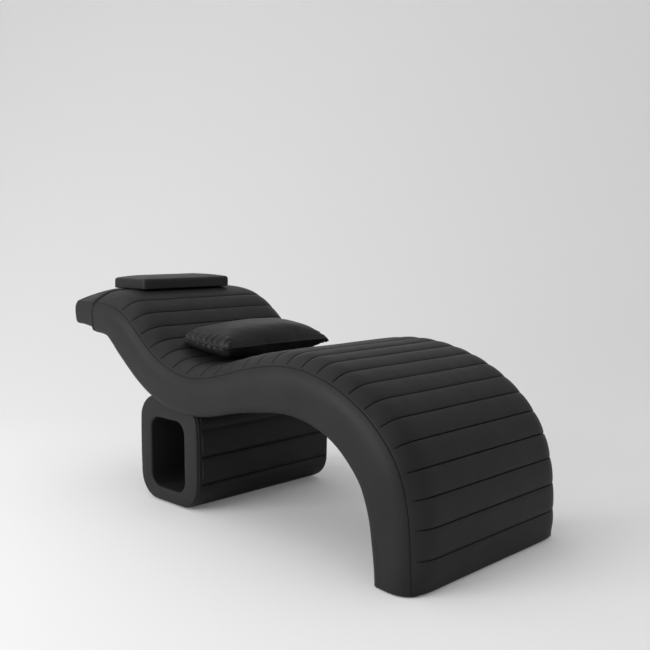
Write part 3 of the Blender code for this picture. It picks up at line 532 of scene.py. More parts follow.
def leather(name, dark, light, roughness, blue=0.0002):
    """Satin artificial leather: pebble grain, faint cloudy tone and slightly uneven gloss."""
    made = Recipe(name, roughness)
    dark, light = ((grey, grey, grey + blue) for grey in (dark, light))
    made.tone(made.noise(7.0, 3.0), (0.30, dark), (0.70, light))
    rub = {"To Min": roughness - 0.05, "To Max": roughness + 0.06}
    gloss = made.node("MapRange", made.noise(26.0, 4.0), "Value", rub)
    made.link(gloss.outputs["Result"], made.shader, "Roughness")
    cells = {"Scale": 620.0, "Smoothness": 0.6}
    pebble = made.node("TexVoronoi", made.spot, "Vector", cells, feature="SMOOTH_F1")
    grain = made.node("Math", made.noise(190.0, 3.0), 0, {1: 0.8}, operation="MULTIPLY_ADD")
    made.link(pebble.outputs["Distance"], grain, 2)
    made.bump(grain.outputs["Value"], 0.55, 0.00022)
    made.shader.inputs["Specular IOR Level"].default_value = 0.18
    return made.material


def thread(name, dark, light):
    made = Recipe(name, 0.55)
    twist = made.node("TexWave", made.spot, "Vector", {"Scale": 900.0, "Distortion": 1.5})
    made.tone(twist.outputs["Fac"], (0.0, dark), (1.0, light))
    return made.material


def plywood():
    """Birch plywood with its grain along the bed."""
    made = Recipe("bent_plywood", 0.62)
    stretch = made.node("Mapping", made.spot, "Vector", {"Scale": (1.0, 14.0, 14.0)})
    grain = made.noise(9.0, 8.0, stretch.outputs["Vector"])
    made.tone(grain, (0.3, (0.40, 0.26, 0.13)), (0.55, (0.58, 0.42, 0.24)), (0.75, (0.68, 0.52, 0.33)))
    made.bump(grain, 0.3, 0.0003)
    return made.material


def foam():
    """Cut foam with fine pores."""
    made = Recipe("cut_foam", 0.95)
    made.tone(made.noise(900.0, 2.0), (0.35, (0.55, 0.50, 0.34)), (0.65, (0.80, 0.76, 0.60)))
    return made.material


def hard(name, colour, roughness, metallic):
    """Plain steel or nylon with a faint brushed or moulded surface."""
    made = Recipe(name, roughness)
    marks = made.noise(400.0, 5.0)
    made.tone(marks, (0.3, [c * 0.85 for c in colour]), (0.7, [c * 1.1 for c in colour]))
    made.bump(marks, 0.15, 0.0001)
    made.shader.inputs["Metallic"].default_value = metallic
    return made.material


# A look is a material and the name of the slot that it goes with
LEATHER = (leather("black_leather", 0.0138, 0.0174, 0.50), "black_leather")
PILLOW_LEATHER = (leather("pillow_leather", 0.0140, 0.0176, 0.43), "pillow_leather")
WELT_LEATHER = (leather("welt_leather", 0.0134, 0.0170, 0.48), "welt_leather")
# Near-black matt sheet: painted shade for the dark gap between the wave's end and the head lip
CREASE_SHADE = (leather("crease_painted_shade", 0.004, 0.006, 0.80, 0.0), "black_leather")
THREAD = (thread("sewing_thread", (0.010, 0.010, 0.010), (0.022, 0.022, 0.022)), "welt_leather")
PALE_THREAD = (thread("pillow_thread", (0.030, 0.030, 0.031), (0.070, 0.070, 0.072)), "pillow_leather")
PLYWOOD_NODES = ("rail_", "bolt_rail", "rib_", "top_board", "under_board", "foot_board", "head_board",
                 "pedestal_frame", "pedestal_board", "pedestal_base")
CARRIED = (
    (PLYWOOD_NODES, plywood()),
    ("seat_foam", foam()),
    (("head_bar", "pedestal_bolt"), hard("plain_steel", (0.55, 0.56, 0.58), 0.35, 1.0)),
    (("foot_glide", "pedestal_glide"), hard("black_nylon", (0.06, 0.06, 0.06), 0.5, 0.0)),
)


# The wave's covers

def top_columns():
    """Places across the top from near to far, crowded next to the side seams."""
    t = SHOULDER * np.linspace(0.0, 1.0, SHOULDER_COLUMNS + 1) ** SHOULDER_CROWD
    middle = np.linspace(SHOULDER, SEAM_WIDTH - SHOULDER, MIDDLE_COLUMNS + 1)[1:-1]
    return np.concatenate((t - HALF, middle - HALF, (HALF - t)[::-1]))


def add_channel_cover():
    """The channelled top, rolled into its grooves and into the side seams."""
    s = ROWS[:, None]
    y = top_columns()
    inward = HALF - np.abs(y)
    full = GROOVE_FULL * smooth_table(GROOVE_FULL_SHARES, s / RUN)
    fade = smooth_step(GROOVE_START, full, inward)
    distance = from_groove(ROWS)[:, None]
    puff = PUFF * (roll(distance, CHANNEL_PITCH / 2.0) * fade + 1.0 - fade)
    lift = (crown_at(s) + puff) * shoulder(inward, power_at(s)) - groove_cut(distance) * fade
    flat = np.stack(np.broadcast_arrays(s, y, 0.0 * s), axis=-1)
    gather = noise_field(flat, (0.5, PUCKER_LENGTH, 1.0), seed=3.1)
    drape = noise_field(flat, (DRAPE_LENGTH, DRAPE_LENGTH, 1.0), seed=7.7)
    pucker = PUCKER_HEIGHT * np.exp(-distance / PUCKER_REACH) * np.minimum(1.0, distance / PUCKER_START)
    lift = lift + fade * (pucker * gather + DRAPE_HEIGHT * drape) - end_roll_at(s)
    top = place(s, lift, np.sign(y) * (np.abs(y) - valley(lift) - end_roll_at(s)))
    crown = crown_at(ROWS)
    low = np.maximum(crown * shoulder(FLANGE) - QUILT_DEPTH, QUILT_EDGE)
    high = np.maximum(crown - QUILT_DEPTH, QUILT_EDGE)
    far = [(HALF - FLANGE, 0.0 * low), (HALF - FLANGE, low), (HALF - SHOULDER, high)]
    near = [(-across, height) for across, height in far[::-1]]
    under = np.stack([place(ROWS, height, across) for across, height in far + near], axis=1)
    item = skin("channel_cover", np.concatenate((top, under), axis=1))
    return finish(item, LEATHER, "channel_top")


def side_offset(v, bulge):
    """How far a side stands out from its seam, v of the way down."""
    rising = 1.0 - np.clip(1.0 - v / SIDE_CREST_SHARE, 0.0, 1.0) ** SIDE_CREST_POWER
    k = np.clip((v - SIDE_CREST_SHARE) / (SIDE_FALL_SHARE - SIDE_CREST_SHARE), 0.0, 1.0)
    standing = bulge * (rising - SIDE_FALL * k * k)
    u = np.clip((v - SIDE_FALL_SHARE) / (1.0 - SIDE_FALL_SHARE), 0.0, 1.0)
    drop = bulge * (1.0 - SIDE_FALL) + HEM_TUCK
    return standing - drop * (1.0 - np.sqrt(1.0 - u * u))


def side_place(s, drop, side, proud=0.0):
    """A place on a side panel, `drop` below the seam, standing `proud` of it."""
    out = side_offset(drop / depth_at(s), bulge_at(s)) - valley(drop)
    return place(s, -GAP - drop, side * (HALF + out + proud))


def add_side(name, side):
    """A padded side panel, and the sewn strip along its seam."""
    s = ROWS[:, None]
    angle = np.linspace(0.0, math.pi / 2.0, SIDE_COLUMNS)
    v = np.concatenate((SEAM_ROWS, SEAM_ROWS_END + (1.0 - SEAM_ROWS_END) * np.sin(angle)))[None, :]
    depth = depth_at(s)
    flat = np.stack(np.broadcast_arrays(s, v * SIDE_DEPTH, 0.0 * s), axis=-1)
    drape = DRAPE_HEIGHT * noise_field(flat, SIDE_DRAPE, seed=11.3 + side) * np.sin(np.pi * v)
    out = side_offset(v, bulge_at(s)) - valley(v * depth) + drape - end_roll_at(s)
    outer = place(s, -GAP - v * (depth - GAP), side * (HALF + out))
    edge = side * (HALF - SIDE_PAD)
    inner = [place(ROWS, -depth_at(ROWS), edge), place(ROWS, -GAP, edge)]
    cover = skin("side_cover_" + name, np.concatenate((outer, np.stack(inner, axis=1)), axis=1))
    finish(cover, LEATHER, "side_pad_" + name)
    across, rise = np.array(WELT_SECTION).T
    welt = side_place(s, WELT_START + WELT_WIDTH * across, side, WELT_RISE * rise - end_roll_at(s))
    finish(skin("seam_welt_" + name, welt), WELT_LEATHER, "edge_welt_" + name)
    return cover


def add_under_cover():
    rows = ROWS[::2]
    lip = HALF - SIDE_PAD - GAP
    depth = depth_at(rows)
    ring = [place(rows, -depth, y) for y in np.linspace(-lip, lip, 12)]
    ring += [place(rows, -depth + COVER, y) for y in np.linspace(lip, -lip, 12)]
    finish(skin("underside_cover", np.stack(ring, axis=1)), LEATHER, "under_cover")


# Thread

def stitch_row(name, points, normals, body, scale=1.0):
    """A row of single stitches along a line of points on a surface."""
    pitch, length, radius = scale * STITCH_PITCH, scale * STITCH_LENGTH, scale * THREAD_RADIUS
    points, normals = np.asarray(points), np.asarray(normals)
    along = run_along(points)
    count = int((along[-1] - length) / pitch)
    share, rise, size = np.array(STITCH_SHAPE).T
    runs = pitch * np.arange(count)[:, None] + length * share
    normal = unit(read_at(runs, along, normals))
    ahead = unit(read_at(runs + 1e-4, along, points) - read_at(runs - 1e-4, along, points))
    centre = read_at(runs, along, points) + normal * radius * rise[:, None]
    turn = math.tau * np.arange(THREAD_SIDES)[:, None] / THREAD_SIDES
    out = np.cross(ahead, normal)[..., None, :] * np.cos(turn) + normal[..., None, :] * np.sin(turn)
    verts = centre[..., None, :] + out * radius * size[:, None, None]
    stitch = ring_faces(len(STITCH_SHAPE), THREAD_SIDES)
    step = len(STITCH_SHAPE) * THREAD_SIDES
    faces = [tuple(step * k + corner for corner in face) for k in range(count) for face in stitch]
    return make_object(name, verts.reshape(-1, 3), faces, body)


def stitch_on(name, cover, points):
    """A row of stitches laid on a cover along the points."""
    mesh = cover.data
    tree = BVHTree.FromPolygons([v.co[:] for v in mesh.vertices], [p.vertices[:] for p in mesh.polygons])
    nearest = [tree.find_nearest(Vector(point)) for point in points]
    item = stitch_row(name, [hit[0] for hit in nearest], [hit[1] for hit in nearest], "bed")
    return finish(item, THREAD)


def add_seam_stitches(top, side_cover, name, side):
    """Rows of stitches along a side seam, one on the top and one on the side."""
    s = np.linspace(STITCH_START, RUN - STITCH_END, 900)
    inward = place(s, crown_at(s) * shoulder(SEAM_STITCH, power_at(s)), side * (HALF - SEAM_STITCH))
    stitch_on("top_stitches_" + name, top, inward)
    stitch_on("side_stitches_" + name, side_cover, side_place(s, SEAM_STITCH + WELT_START, side))


# The pedestal

UNDERSIDE = place(ROWS, -depth_at(ROWS), 0.0)
OVER_PEDESTAL = np.abs(UNDERSIDE[:, 0] - PEDESTAL_X) < PEDESTAL_WIDTH / 2.0
UNDERSIDE_LOW = UNDERSIDE[OVER_PEDESTAL, 2].min()
PEDESTAL_HEIGHT = UNDERSIDE_LOW + PEDESTAL_LAP
TUNNEL_TOP = UNDERSIDE_LOW - TUNNEL_ROOF
PEDESTAL_GROOVES = np.arange(HEM_HEIGHT + PEDESTAL_CORNER + PEDESTAL_SKIRT, PEDESTAL_HEIGHT - PEDESTAL_CORNER,
                             PEDESTAL_PITCH)


def upright_outline(half, low, high, radius, middle, bow=0.0):
    """An upright rounded outline (x, z) from the middle of its foot all the way round, and its normals."""
    angle = np.linspace(0.0, math.pi / 2.0, CORNER_STEPS + 1)
    sine, cosine = np.sin(angle), np.cos(angle)
    foot = [(x, low, 0.0, -1.0) for x in np.linspace(0.0, half - radius, 6)[:-1]]
    corner = np.stack((half - radius * (1.0 - sine), low + radius * (1.0 - cosine), sine, -cosine), axis=1)
    heights = np.linspace(low + radius, high - radius, UPRIGHT_STEPS + 2)[1:-1]
    lower = np.concatenate((foot, corner))
    upper = lower[::-1] * (1.0, -1.0, 1.0, -1.0) + (0.0, low + high, 0.0, 0.0)
    right = np.concatenate((lower, [(half, z, 1.0, 0.0) for z in heights], upper))
    share = (right[:, 1] - low) / (high - low) * 2.0 - 1.0
    right[:, 0] *= 1.0 + bow * (1.0 - share**2) / half
    whole = np.concatenate((right, right[-2:0:-1] * (-1.0, 1.0, -1.0, 1.0)))
    return whole[:, :2] + (middle, 0.0), whole[:, 2:]


def pedestal_outline(inset=0.0):
    """The pedestal's upright outline, its sides bowed out at half height."""
    half, radius = PEDESTAL_WIDTH / 2.0 - inset, PEDESTAL_CORNER - inset
    low, high = HEM_HEIGHT + inset, PEDESTAL_HEIGHT - inset
    return upright_outline(half, low, high, radius, PEDESTAL_X, PEDESTAL_BOW)


def tunnel_outline(grow):
    half, radius = TUNNEL_WIDTH / 2.0 + grow, TUNNEL_CORNER + grow
    return upright_outline(half, TUNNEL_FLOOR - grow, TUNNEL_TOP + grow, radius, PEDESTAL_X - TUNNEL_SHIFT)


def layer(outline, y):
    """An outline (x, z) at its place across the bed."""
    return np.insert(outline, 1, y, axis=1)


def wrap_outline(points, out, from_end):
    """The pedestal's outline with its channels, at a distance from the end face."""
    distance = np.abs(points[:, 1, None] - PEDESTAL_GROOVES).min(axis=1)
    channel = smooth_step(BORDER, BORDER + BORDER_BLEND, from_end)
    puff = PEDESTAL_PUFF * (roll(distance, PEDESTAL_PITCH / 2.0) * channel + (1.0 - channel) * BORDER_PUFF)
    border = BORDER_DEPTH * math.exp(-((from_end - BORDER) / GROOVE_WIDTH) ** 2)
    k = max(0.0, 1.0 - from_end / END_EDGE)
    end_roll = END_ROUND * (1.0 - math.sqrt(1.0 - k * k))
    lift = (puff - groove_cut(distance) * channel) * out[:, 0] ** 2 - border - end_roll
    return points + out * lift[:, None]


def saddle():
    """Cutter for the space that the wave takes above the pedestal."""
    rows = ROWS[::3]
    x = place(rows, -depth_at(rows), 0.0)[:, 0]
    rows = rows[np.abs(x - PEDESTAL_X) < PEDESTAL_WIDTH / 2.0 + PEDESTAL_CORNER]
    low = -depth_at(rows) - GAP
    corners = ((0.0, -HALF), (0.0, HALF), (SADDLE_HEIGHT, HALF), (SADDLE_HEIGHT, -HALF))
    return skin("saddle_cutter", np.stack([place(rows, low + rise, y) for rise, y in corners], axis=1))


def cut_away(item, tool):
    """Takes the cutter out of a piece and applies the result."""
    step = item.modifiers.new("cut", "BOOLEAN")
    step.operation = "DIFFERENCE"
    step.solver = "EXACT"
    step.object = tool
    graph = bpy.context.evaluated_depsgraph_get()
    item.data = bpy.data.meshes.new_from_object(item.evaluated_get(graph))
    item.modifiers.clear()


def add_pedestal():
    """The channelled wrap, the liner and the padded faces round the tunnel's mouths."""
    face = HALF - PEDESTAL_INSET
    end = face - END_PAD
    tool = saddle()
    points, out = pedestal_outline()
    near = np.array(WRAP_ROWS) - end
    steps = np.concatenate((near, np.linspace(near[-1], -near[-1], 40)[1:-1], -near[::-1]))
    rings = [layer(wrap_outline(points, out, end - abs(y)), y) for y in steps]
    rings += [layer(pedestal_outline(WRAP_PLY)[0], y) for y in (end, -end)]
    wrap = skin("pedestal_cover", rings, closed=True)
    cut_away(wrap, tool)
    finish(wrap, LEATHER, "pedestal_wrap")

    liner = [layer(tunnel_outline(LINER_PLY)[0], y) for y in (-end, end)]
    liner += [layer(tunnel_outline(0.0)[0], y) for y in np.linspace(end, -end, 12)]
    finish(skin("tunnel_lining", liner, closed=True), LEATHER, "tunnel_liner")

    edge = END_ROUND + GAP
    rows = [(edge, end + GAP)] + [(edge + x, face - z) for x, z in quarter_round(END_EDGE, 9)]
    rings = [(pedestal_outline(inset)[0], y) for inset, y in rows]
    rim, mouth = rings[-1][0], tunnel_outline(MOUTH_ROUND)[0]
    for share in np.linspace(0.0, 1.0, 8)[1:-1]:
        rings.append((rim + (mouth - rim) * share, face + FACE_CROWN * math.sin(math.pi * share)))
    rows = [(z, face - x) for x, z in quarter_round(MOUTH_ROUND, 9)] + [(0.0, end + GAP)]
    rings += [(tunnel_outline(grow)[0], y) for grow, y in rows]
    for name, side in SIDES:
        pad = skin("pedestal_face_" + name, [layer(ring, side * y) for ring, y in rings], closed=True)
        cut_away(pad, tool)
        finish(pad, LEATHER, "pedestal_end_" + name)
    bpy.data.objects.remove(tool)


# The head end

def head_section(top, depth, bulge, over):
    """Outline (y, z) across the head end, with the heights over its top columns."""
    v = np.linspace(0.0, 1.0, 24)
    side = np.stack((HALF + side_offset(v, bulge), top - v * depth), axis=1)
    y, z = side[-1]
    bottom = [(across, z) for across in np.linspace(-y, y, 20)[1:-1]]
    arch = np.stack((top_columns(), over), axis=1)[::-3]
    return np.concatenate((side[::-1], arch, side * (-1.0, 1.0), bottom))


def end_section():
    rise = (crown_at(RUN) + PUFF) * shoulder(HALF - np.abs(top_columns()), power_at(RUN))
    return head_section(HEAD_HEIGHT - GAP, depth_at(RUN), bulge_at(RUN), HEAD_HEIGHT + rise)


def drawn_in(outline, inset, x):
    """An outline (y, z) at x, drawn in towards its middle by the inset."""
    low, high = outline.min(axis=0), outline.max(axis=0)
    middle, half = (low + high) / 2.0, (high - low) / 2.0
    return np.insert(middle + (outline - middle) * (half - inset) / half, 0, x, axis=1)


def block_section(back):
    """Outline of the head block: as the wave at its front, with longer shoulders at its back."""
    top = HEAD_HEIGHT + HEAD_BLOCK_LIFT
    rise = crown_at(RUN) + PUFF - HEAD_BLOCK_LIFT
    inward = HALF - np.abs(top_columns())
    long_shoulder = 1.0 - np.clip(1.0 - inward / BLOCK_SHOULDER, 0.0, 1.0) ** BLOCK_POWER
    share = shoulder(inward, power_at(RUN)) * (1.0 - back) + long_shoulder * back
    depth = HEAD_BLOCK_DEPTH + HEAD_BLOCK_LIFT + BLOCK_DROP * (1.0 - back)
    return head_section(top, depth, BLOCK_BULGE, top + rise * share)


def add_lip():
    """The lip behind a deep crease, and a near-black sheet in the crease that paints its shade."""
    start = FOOT_X - HEAD_END - GAP
    inner, high = CREASE_WIDTH - LIP_ROUND, LIP_EDGE + SHADE_SHEET_DROP
    rows = [(0.0, CREASE_DEPTH), (inner, CREASE_DEPTH)]
    rows += [(inner + x, LIP_EDGE + z) for x, z in quarter_round(LIP_ROUND, 11)]
    rows += [(out, LIP_EDGE) for out in np.linspace(CREASE_WIDTH, LIP_DEPTH, 5)[1:]]
    lip = skin("head_lip_cover", [drawn_in(end_section(), inset, start - out) for out, inset in rows])
    finish(lip, LEATHER, "head_lip")
    # A near-black sheet just under the lip's edge fills the crease and paints its shade
    rows = [(0.0, CREASE_DEPTH), (0.0, high), (inner, high), (inner, CREASE_DEPTH)]
    rings = [drawn_in(end_section(), inset, start - out) for out, inset in rows]
    finish(skin("crease_painted_shade", rings, closed=True), CREASE_SHADE)


def add_head_block():
    """The block with its bowed and rounded end."""
    start = FOOT_X - HEAD_END - LIP_DEPTH - 2.0 * GAP
    straight = HEAD_BLOCK_LENGTH - HEAD_BLOCK_ROUND
    rows = [(x, z, 0.0) for x, z in quarter_round(BLOCK_EDGE, 11)[:-1]]
    rows += [(out, 0.0, 0.0) for out in np.linspace(BLOCK_EDGE, straight, 16)]
    rows += [(HEAD_BLOCK_LENGTH - z, 0.0, x) for x, z in quarter_round(HEAD_BLOCK_ROUND, 11)[1:]]
    for k in (0.3, 0.6, 1.0):
        rows.append((HEAD_BLOCK_LENGTH + BLOCK_CROWN * k, 0.0, HEAD_BLOCK_ROUND + BLOCK_CROWN_REACH * k))
    layers = []
    for out, edge, rounding in rows:
        inset = GAP + edge + rounding * np.array((1.0, BLOCK_ROUND_SHARE))
        layers.append(drawn_in(block_section(smooth_step(0.0, BLOCK_BLEND, out)), inset, start - out))
    block = skin("head_block_cover", layers)
    finish(block, LEATHER, "head_block")


# Pillows

def top_height(x):
    """Height of the channels' crests over places along the bed, with the touching gap."""
    crest = place(ROWS, crown_at(ROWS) + PUFF, 0.0)[::-1]
    return np.interp(x, crest[:, 0], crest[:, 2]) + 2.0 * GAP


def rounded_plan(half_length, half_width, radius):
    """Plan of a rounded rectangle, the same count of points at any size."""
    arcs = []
    for number, way in enumerate(((1.0, 1.0), (-1.0, 1.0), (-1.0, -1.0), (1.0, -1.0))):
        angle = (number + np.linspace(0.0, 1.0, CORNER_STEPS + 1)) * math.pi / 2.0
        centre = np.array(way) * (half_length - radius, half_width - radius)
        arcs.append(centre + radius * np.stack((np.cos(angle), np.sin(angle)), axis=1))
    plan = []
    for arc, following in zip(arcs, arcs[1:] + arcs[:1]):
        plan += [arc, np.linspace(arc[-1], following[0], PILLOW_SIDE_STEPS + 1)[1:-1]]
    return np.concatenate(plan)


def add_head_pillow():
    """Flat boxed pillow: upright corners, a softly rolled top edge and a low crown."""
    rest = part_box("head_pillow")[0].z
    wall_top = HEAD_PILLOW_THICKNESS - HEAD_PILLOW_CROWN
    profile = [(inset, 0.0) for inset in (0.10, 0.03)]
    profile += [(z, x) for x, z in quarter_round(BASE_ROLL, 12)]
    profile += [(0.0, z) for z in np.linspace(BASE_ROLL, wall_top - TOP_ROLL, 5)[1:-1]]
    profile += [(x, wall_top - z) for x, z in quarter_round(TOP_ROLL, 12)]
    inner = HEAD_PILLOW_LENGTH / 2.0 - TOP_ROLL
    for share in np.linspace(0.0, 0.97, 16)[1:]:
        profile.append((TOP_ROLL + inner * share, wall_top + HEAD_PILLOW_CROWN * (1.0 - (1.0 - share) ** 2)))
    layers = []
    for inset, z in profile:
        radius = max(HEAD_PILLOW_CORNER - inset, 0.0005)
        plan = rounded_plan(HEAD_PILLOW_LENGTH / 2.0 - inset, HEAD_PILLOW_WIDTH / 2.0 - inset, radius)
        layers.append(np.insert(plan + (FOOT_X - HEAD_END, 0.0), 2, rest + z, axis=1))
    item = skin("head_cushion", layers, "head_pillow_body")
    finish(item, PILLOW_LEATHER, "head_pillow")


def flat_panels():
    """The lumbar pillow's two panels before they are filled, a grid of places each."""
    random = np.random.default_rng(CLOTH_SEED)
    across = np.linspace(-1.0, 1.0, round(CUT_WIDTH / CLOTH_CELL) + 1)
    along = np.linspace(-1.0, 1.0, round(CUT_LENGTH / CLOTH_CELL) + 1)
    u, v = np.meshgrid(across, along, indexing="ij")
    inside = (1.0 - u * u) * (1.0 - v * v)
    panels = []
    for side in (1.0, -1.0):
        loft = CLOTH_LOFT * np.sqrt(inside) + random.normal(0.0, CLOTH_NOISE, u.shape) * (inside > 0.0)
        panels.append(np.stack((v * CUT_LENGTH / 2.0, u * CUT_WIDTH / 2.0, side * loft), axis=-1))
    return np.array(panels)


def sewn(panels):
    """Vertices and faces of two grids that share their rim, and which grid places are in use."""
    rows, columns = panels.shape[1:3]
    top = np.arange(rows * columns).reshape(rows, columns)
    belly = top + rows * columns
    for edge in RIM:
        belly[edge] = top[edge]
    faces = []
    for grid in (top[:, ::-1], belly):
        faces.append(np.stack((grid[:-1, :-1], grid[1:, :-1], grid[1:, 1:], grid[:-1, 1:]), axis=-1))
    used, faces = np.unique(np.concatenate(faces), return_inverse=True)
    faces = [tuple(int(corner) for corner in face) for face in faces.reshape(-1, 4)]
    return panels.reshape(-1, 3)[used], faces, used


def blown_up(panels):
    """The sewn panels after a cloth simulation has filled them."""
    verts, faces, used = sewn(panels)
    item = make_object("lumbar_cloth", verts, faces, LUMBAR_BODY)
    cloth = item.modifiers.new("cloth", "CLOTH")
    cloth.point_cache.frame_end = CLOTH_FRAMES
    cloth.collision_settings.use_collision = False
    for key, value in CLOTH_SETTINGS.items():
        setattr(cloth.settings, key, value)
    cloth.settings.effector_weights.gravity = 0.0
    for step in range(1, CLOTH_FRAMES + 1):
        bpy.context.scene.frame_set(step)
    mesh = bpy.data.meshes.new_from_object(item.evaluated_get(bpy.context.evaluated_depsgraph_get()))
    bpy.data.objects.remove(item)
    bpy.context.scene.frame_set(1)
    filled = panels.reshape(-1, 3).copy()
    filled[used] = [v.co[:] for v in mesh.vertices]
    filled = filled.reshape(panels.shape)
    for edge in RIM:
        filled[1][edge] = filled[0][edge]
    return filled


def calmed(panels):
    """Takes the cloth's smallest ripples out and keeps its forms."""
    for _ in range(CALM_PASSES):
        around = panels[:, :-2, 1:-1] + panels[:, 2:, 1:-1] + panels[:, 1:-1, :-2] + panels[:, 1:-1, 2:]
        ends = panels[:, [0, -1], :-2] + panels[:, [0, -1], 2:]
        sides = panels[:, :-2][:, :, [0, -1]] + panels[:, 2:][:, :, [0, -1]]
        panels = panels.copy()
        panels[:, 1:-1, 1:-1] = (panels[:, 1:-1, 1:-1] + around / 4.0) / 2.0
        panels[:, [0, -1], 1:-1] = (panels[:, [0, -1], 1:-1] + ends / 2.0) / 2.0
        panels[:, 1:-1, [0, -1]] = (panels[:, 1:-1, [0, -1]] + sides / 2.0) / 2.0
    return panels


def refined(grid):
    """The grid with a smooth line between each two of its lines, both ways."""
    for _ in range(2):
        longer = np.concatenate((2.0 * grid[:1] - grid[1:2], grid, 2.0 * grid[-1:] - grid[-2:-1]))
        between = (9.0 * (grid[:-1] + grid[1:]) - longer[:-3] - longer[3:]) / 16.0
        woven = np.empty((2 * len(grid) - 1, *grid.shape[1:]))
        woven[0::2], woven[1::2] = grid, between
        grid = woven.swapaxes(0, 1)
    return grid


def outward(grid, side):
    """Normals of a panel, pointing out of the pillow."""
    return unit(np.cross(np.gradient(grid, axis=1), np.gradient(grid, axis=0)) * side)


def from_ends(grid):
    """Distance over the cloth to the nearer end of each line along the first axis."""
    run = run_along(grid)
    return np.minimum(run, run[-1] - run)


def bell(start, peak, end, value):
    """Rises from the start to the peak and falls to the end."""
    return smooth_step(start, peak, value) * (1.0 - smooth_step(peak, end, value))


def gathered(grid, side):
    """Sewing gathers: deep folds off the short ends, shallow ones off the long sides."""
    reach = from_ends(grid)
    edge = from_ends(grid.swapaxes(0, 1)).swapaxes(0, 1)
    sway = noise_field(grid, (0.10, 0.10, 1.0), seed=2.6 + side)
    uneven = 1.0 + GATHER_UNEVEN * noise_field(grid, (0.03, 0.3, 1.0), seed=8.4)
    along = (grid[..., 0] - GATHER_LEAN * reach) / LUMBAR_LENGTH
    turns = math.tau * GATHERS * along + GATHER_SWAY * sway
    deep = 1.0 - 2.0 * np.abs(np.sin(turns / 2.0)) ** GATHER_SHARPNESS
    deep = deep * bell(GATHER_START, GATHER_PEAK, GATHER_REACH * (1.0 + 0.3 * sway), reach)
    deep = deep * smooth_step(0.0, CORNER_FADE, edge) * uneven
    turns = math.tau * (grid[..., 1] + PUCKER_LEAN * edge) / PUCKER_SPACING + 2.0 * GATHER_SWAY * sway
    shallow = np.sin(turns) * bell(GATHER_START, *PUCKER_FADE, edge) * smooth_step(0.0, CORNER_FADE, reach)
    return grid + outward(grid, side) * (PUCKER_RISE * shallow - GATHER_HEIGHT * deep)[..., None]


def laid(grid):
    """The pillow tilted and laid in the hollow of the seat."""
    seam = top_height(SEAT_X) - 2.0 * GAP - LUMBAR_SINK + LUMBAR_THICKNESS / 2.0
    x, y, z = np.moveaxis(grid, -1, 0)
    world_x = SEAT_X - LUMBAR_SETBACK + x
    height = np.maximum(seam + z - x * math.tan(LUMBAR_TILT), top_height(world_x))
    return np.stack((world_x, y, height), axis=-1)


def inset_line(grid, normals, inset):
    """A closed line over a panel at the inset from its rim, with the normals there."""
    both = np.concatenate((grid, normals), axis=-1)
    sides = []
    for _ in range(4):
        run = run_along(both[..., :3])
        line = np.array([read_at(inset, run[:, j], both[:, j]) for j in range(both.shape[1])])
        along = run_along(line[:, :3])
        sides.append(line[(along >= inset) & (along < along[-1] - inset)])
        both = np.rot90(both)
    line = np.concatenate(sides)
    return line[:, :3], line[:, 3:]


def knot(centre, name):
    """A small round lump on the lumbar pillow."""
    turn = np.linspace(0.0, math.tau, 13)[:-1]
    rings = []
    for angle in np.linspace(-math.pi / 2.0 + 0.1, math.pi / 2.0 - 0.1, 9):
        ring = np.stack((np.cos(turn), np.sin(turn), np.full(len(turn), math.tan(angle))), axis=1)
        rings.append(centre + ring * EAR_RADIUS * math.cos(angle))
    return skin(name, rings, LUMBAR_BODY)


def add_lumbar_pillow():
    """Knife-edged pillow, blown up as cloth and gathered at its seam."""
    panels = calmed(blown_up(flat_panels()))
    low, high = panels.min(axis=(0, 1, 2)), panels.max(axis=(0, 1, 2))
    size = np.array((LUMBAR_LENGTH, LUMBAR_WIDTH, LUMBAR_THICKNESS))
    panels = (panels - (low + high) / 2.0) * size / (high - low)
    grids = np.array([laid(gathered(refined(panel), side)) for panel, side in zip(panels, (1.0, -1.0))])
    verts, faces, _ = sewn(grids)
    item = make_object("lumbar_cushion", verts, faces, LUMBAR_BODY)
    finish(item, PILLOW_LEATHER, "lumbar_pillow")
    return grids


def add_lumbar_trim(grids):
    """The edge of the lumbar pillow's seam, the knots at its corners and its rows of stitches."""
    rim = inset_line(grids[0], grids[0], 0.0)[0]
    inner = inset_line(grids[0], grids[0], CLOTH_CELL)[0].mean(axis=0)
    ahead = np.roll(rim, -1, axis=0) - np.roll(rim, 1, axis=0)
    out = unit(np.stack((ahead[:, 1], -ahead[:, 0], np.zeros(len(rim))), axis=1))
    out *= np.sign(((rim - inner) * out).sum())
    rings = []
    for turn in np.linspace(0.0, math.tau, 10)[:-1]:
        rise = (0.0, 0.0, SEAM_THICK * math.sin(turn))
        rings.append(rim + out * SEAM_REACH * (math.cos(turn) + 0.5) + rise)
    finish(skin("lumbar_seam", np.stack(rings, axis=1), LUMBAR_BODY, closed=True), PILLOW_LEATHER)
    middle = grids[0].mean(axis=(0, 1))
    for number, corner in enumerate(grids[0][[0, 0, -1, -1], [0, -1, 0, -1]], 1):
        inward = unit((middle - corner) * (1.0, 1.0, 0.0))
        finish(knot(corner + inward * EAR_RADIUS, "lumbar_ear_%d" % number), PILLOW_LEATHER)
    for name, panel, inset in PILLOW_STITCHES:
        line, normals = inset_line(grids[panel], outward(grids[panel], (1.0, -1.0)[panel]), inset)
        row = stitch_row("lumbar_stitches_" + name, line, normals, LUMBAR_BODY, PILLOW_STITCH)
        finish(row, PALE_THREAD)


# Floor, light and camera

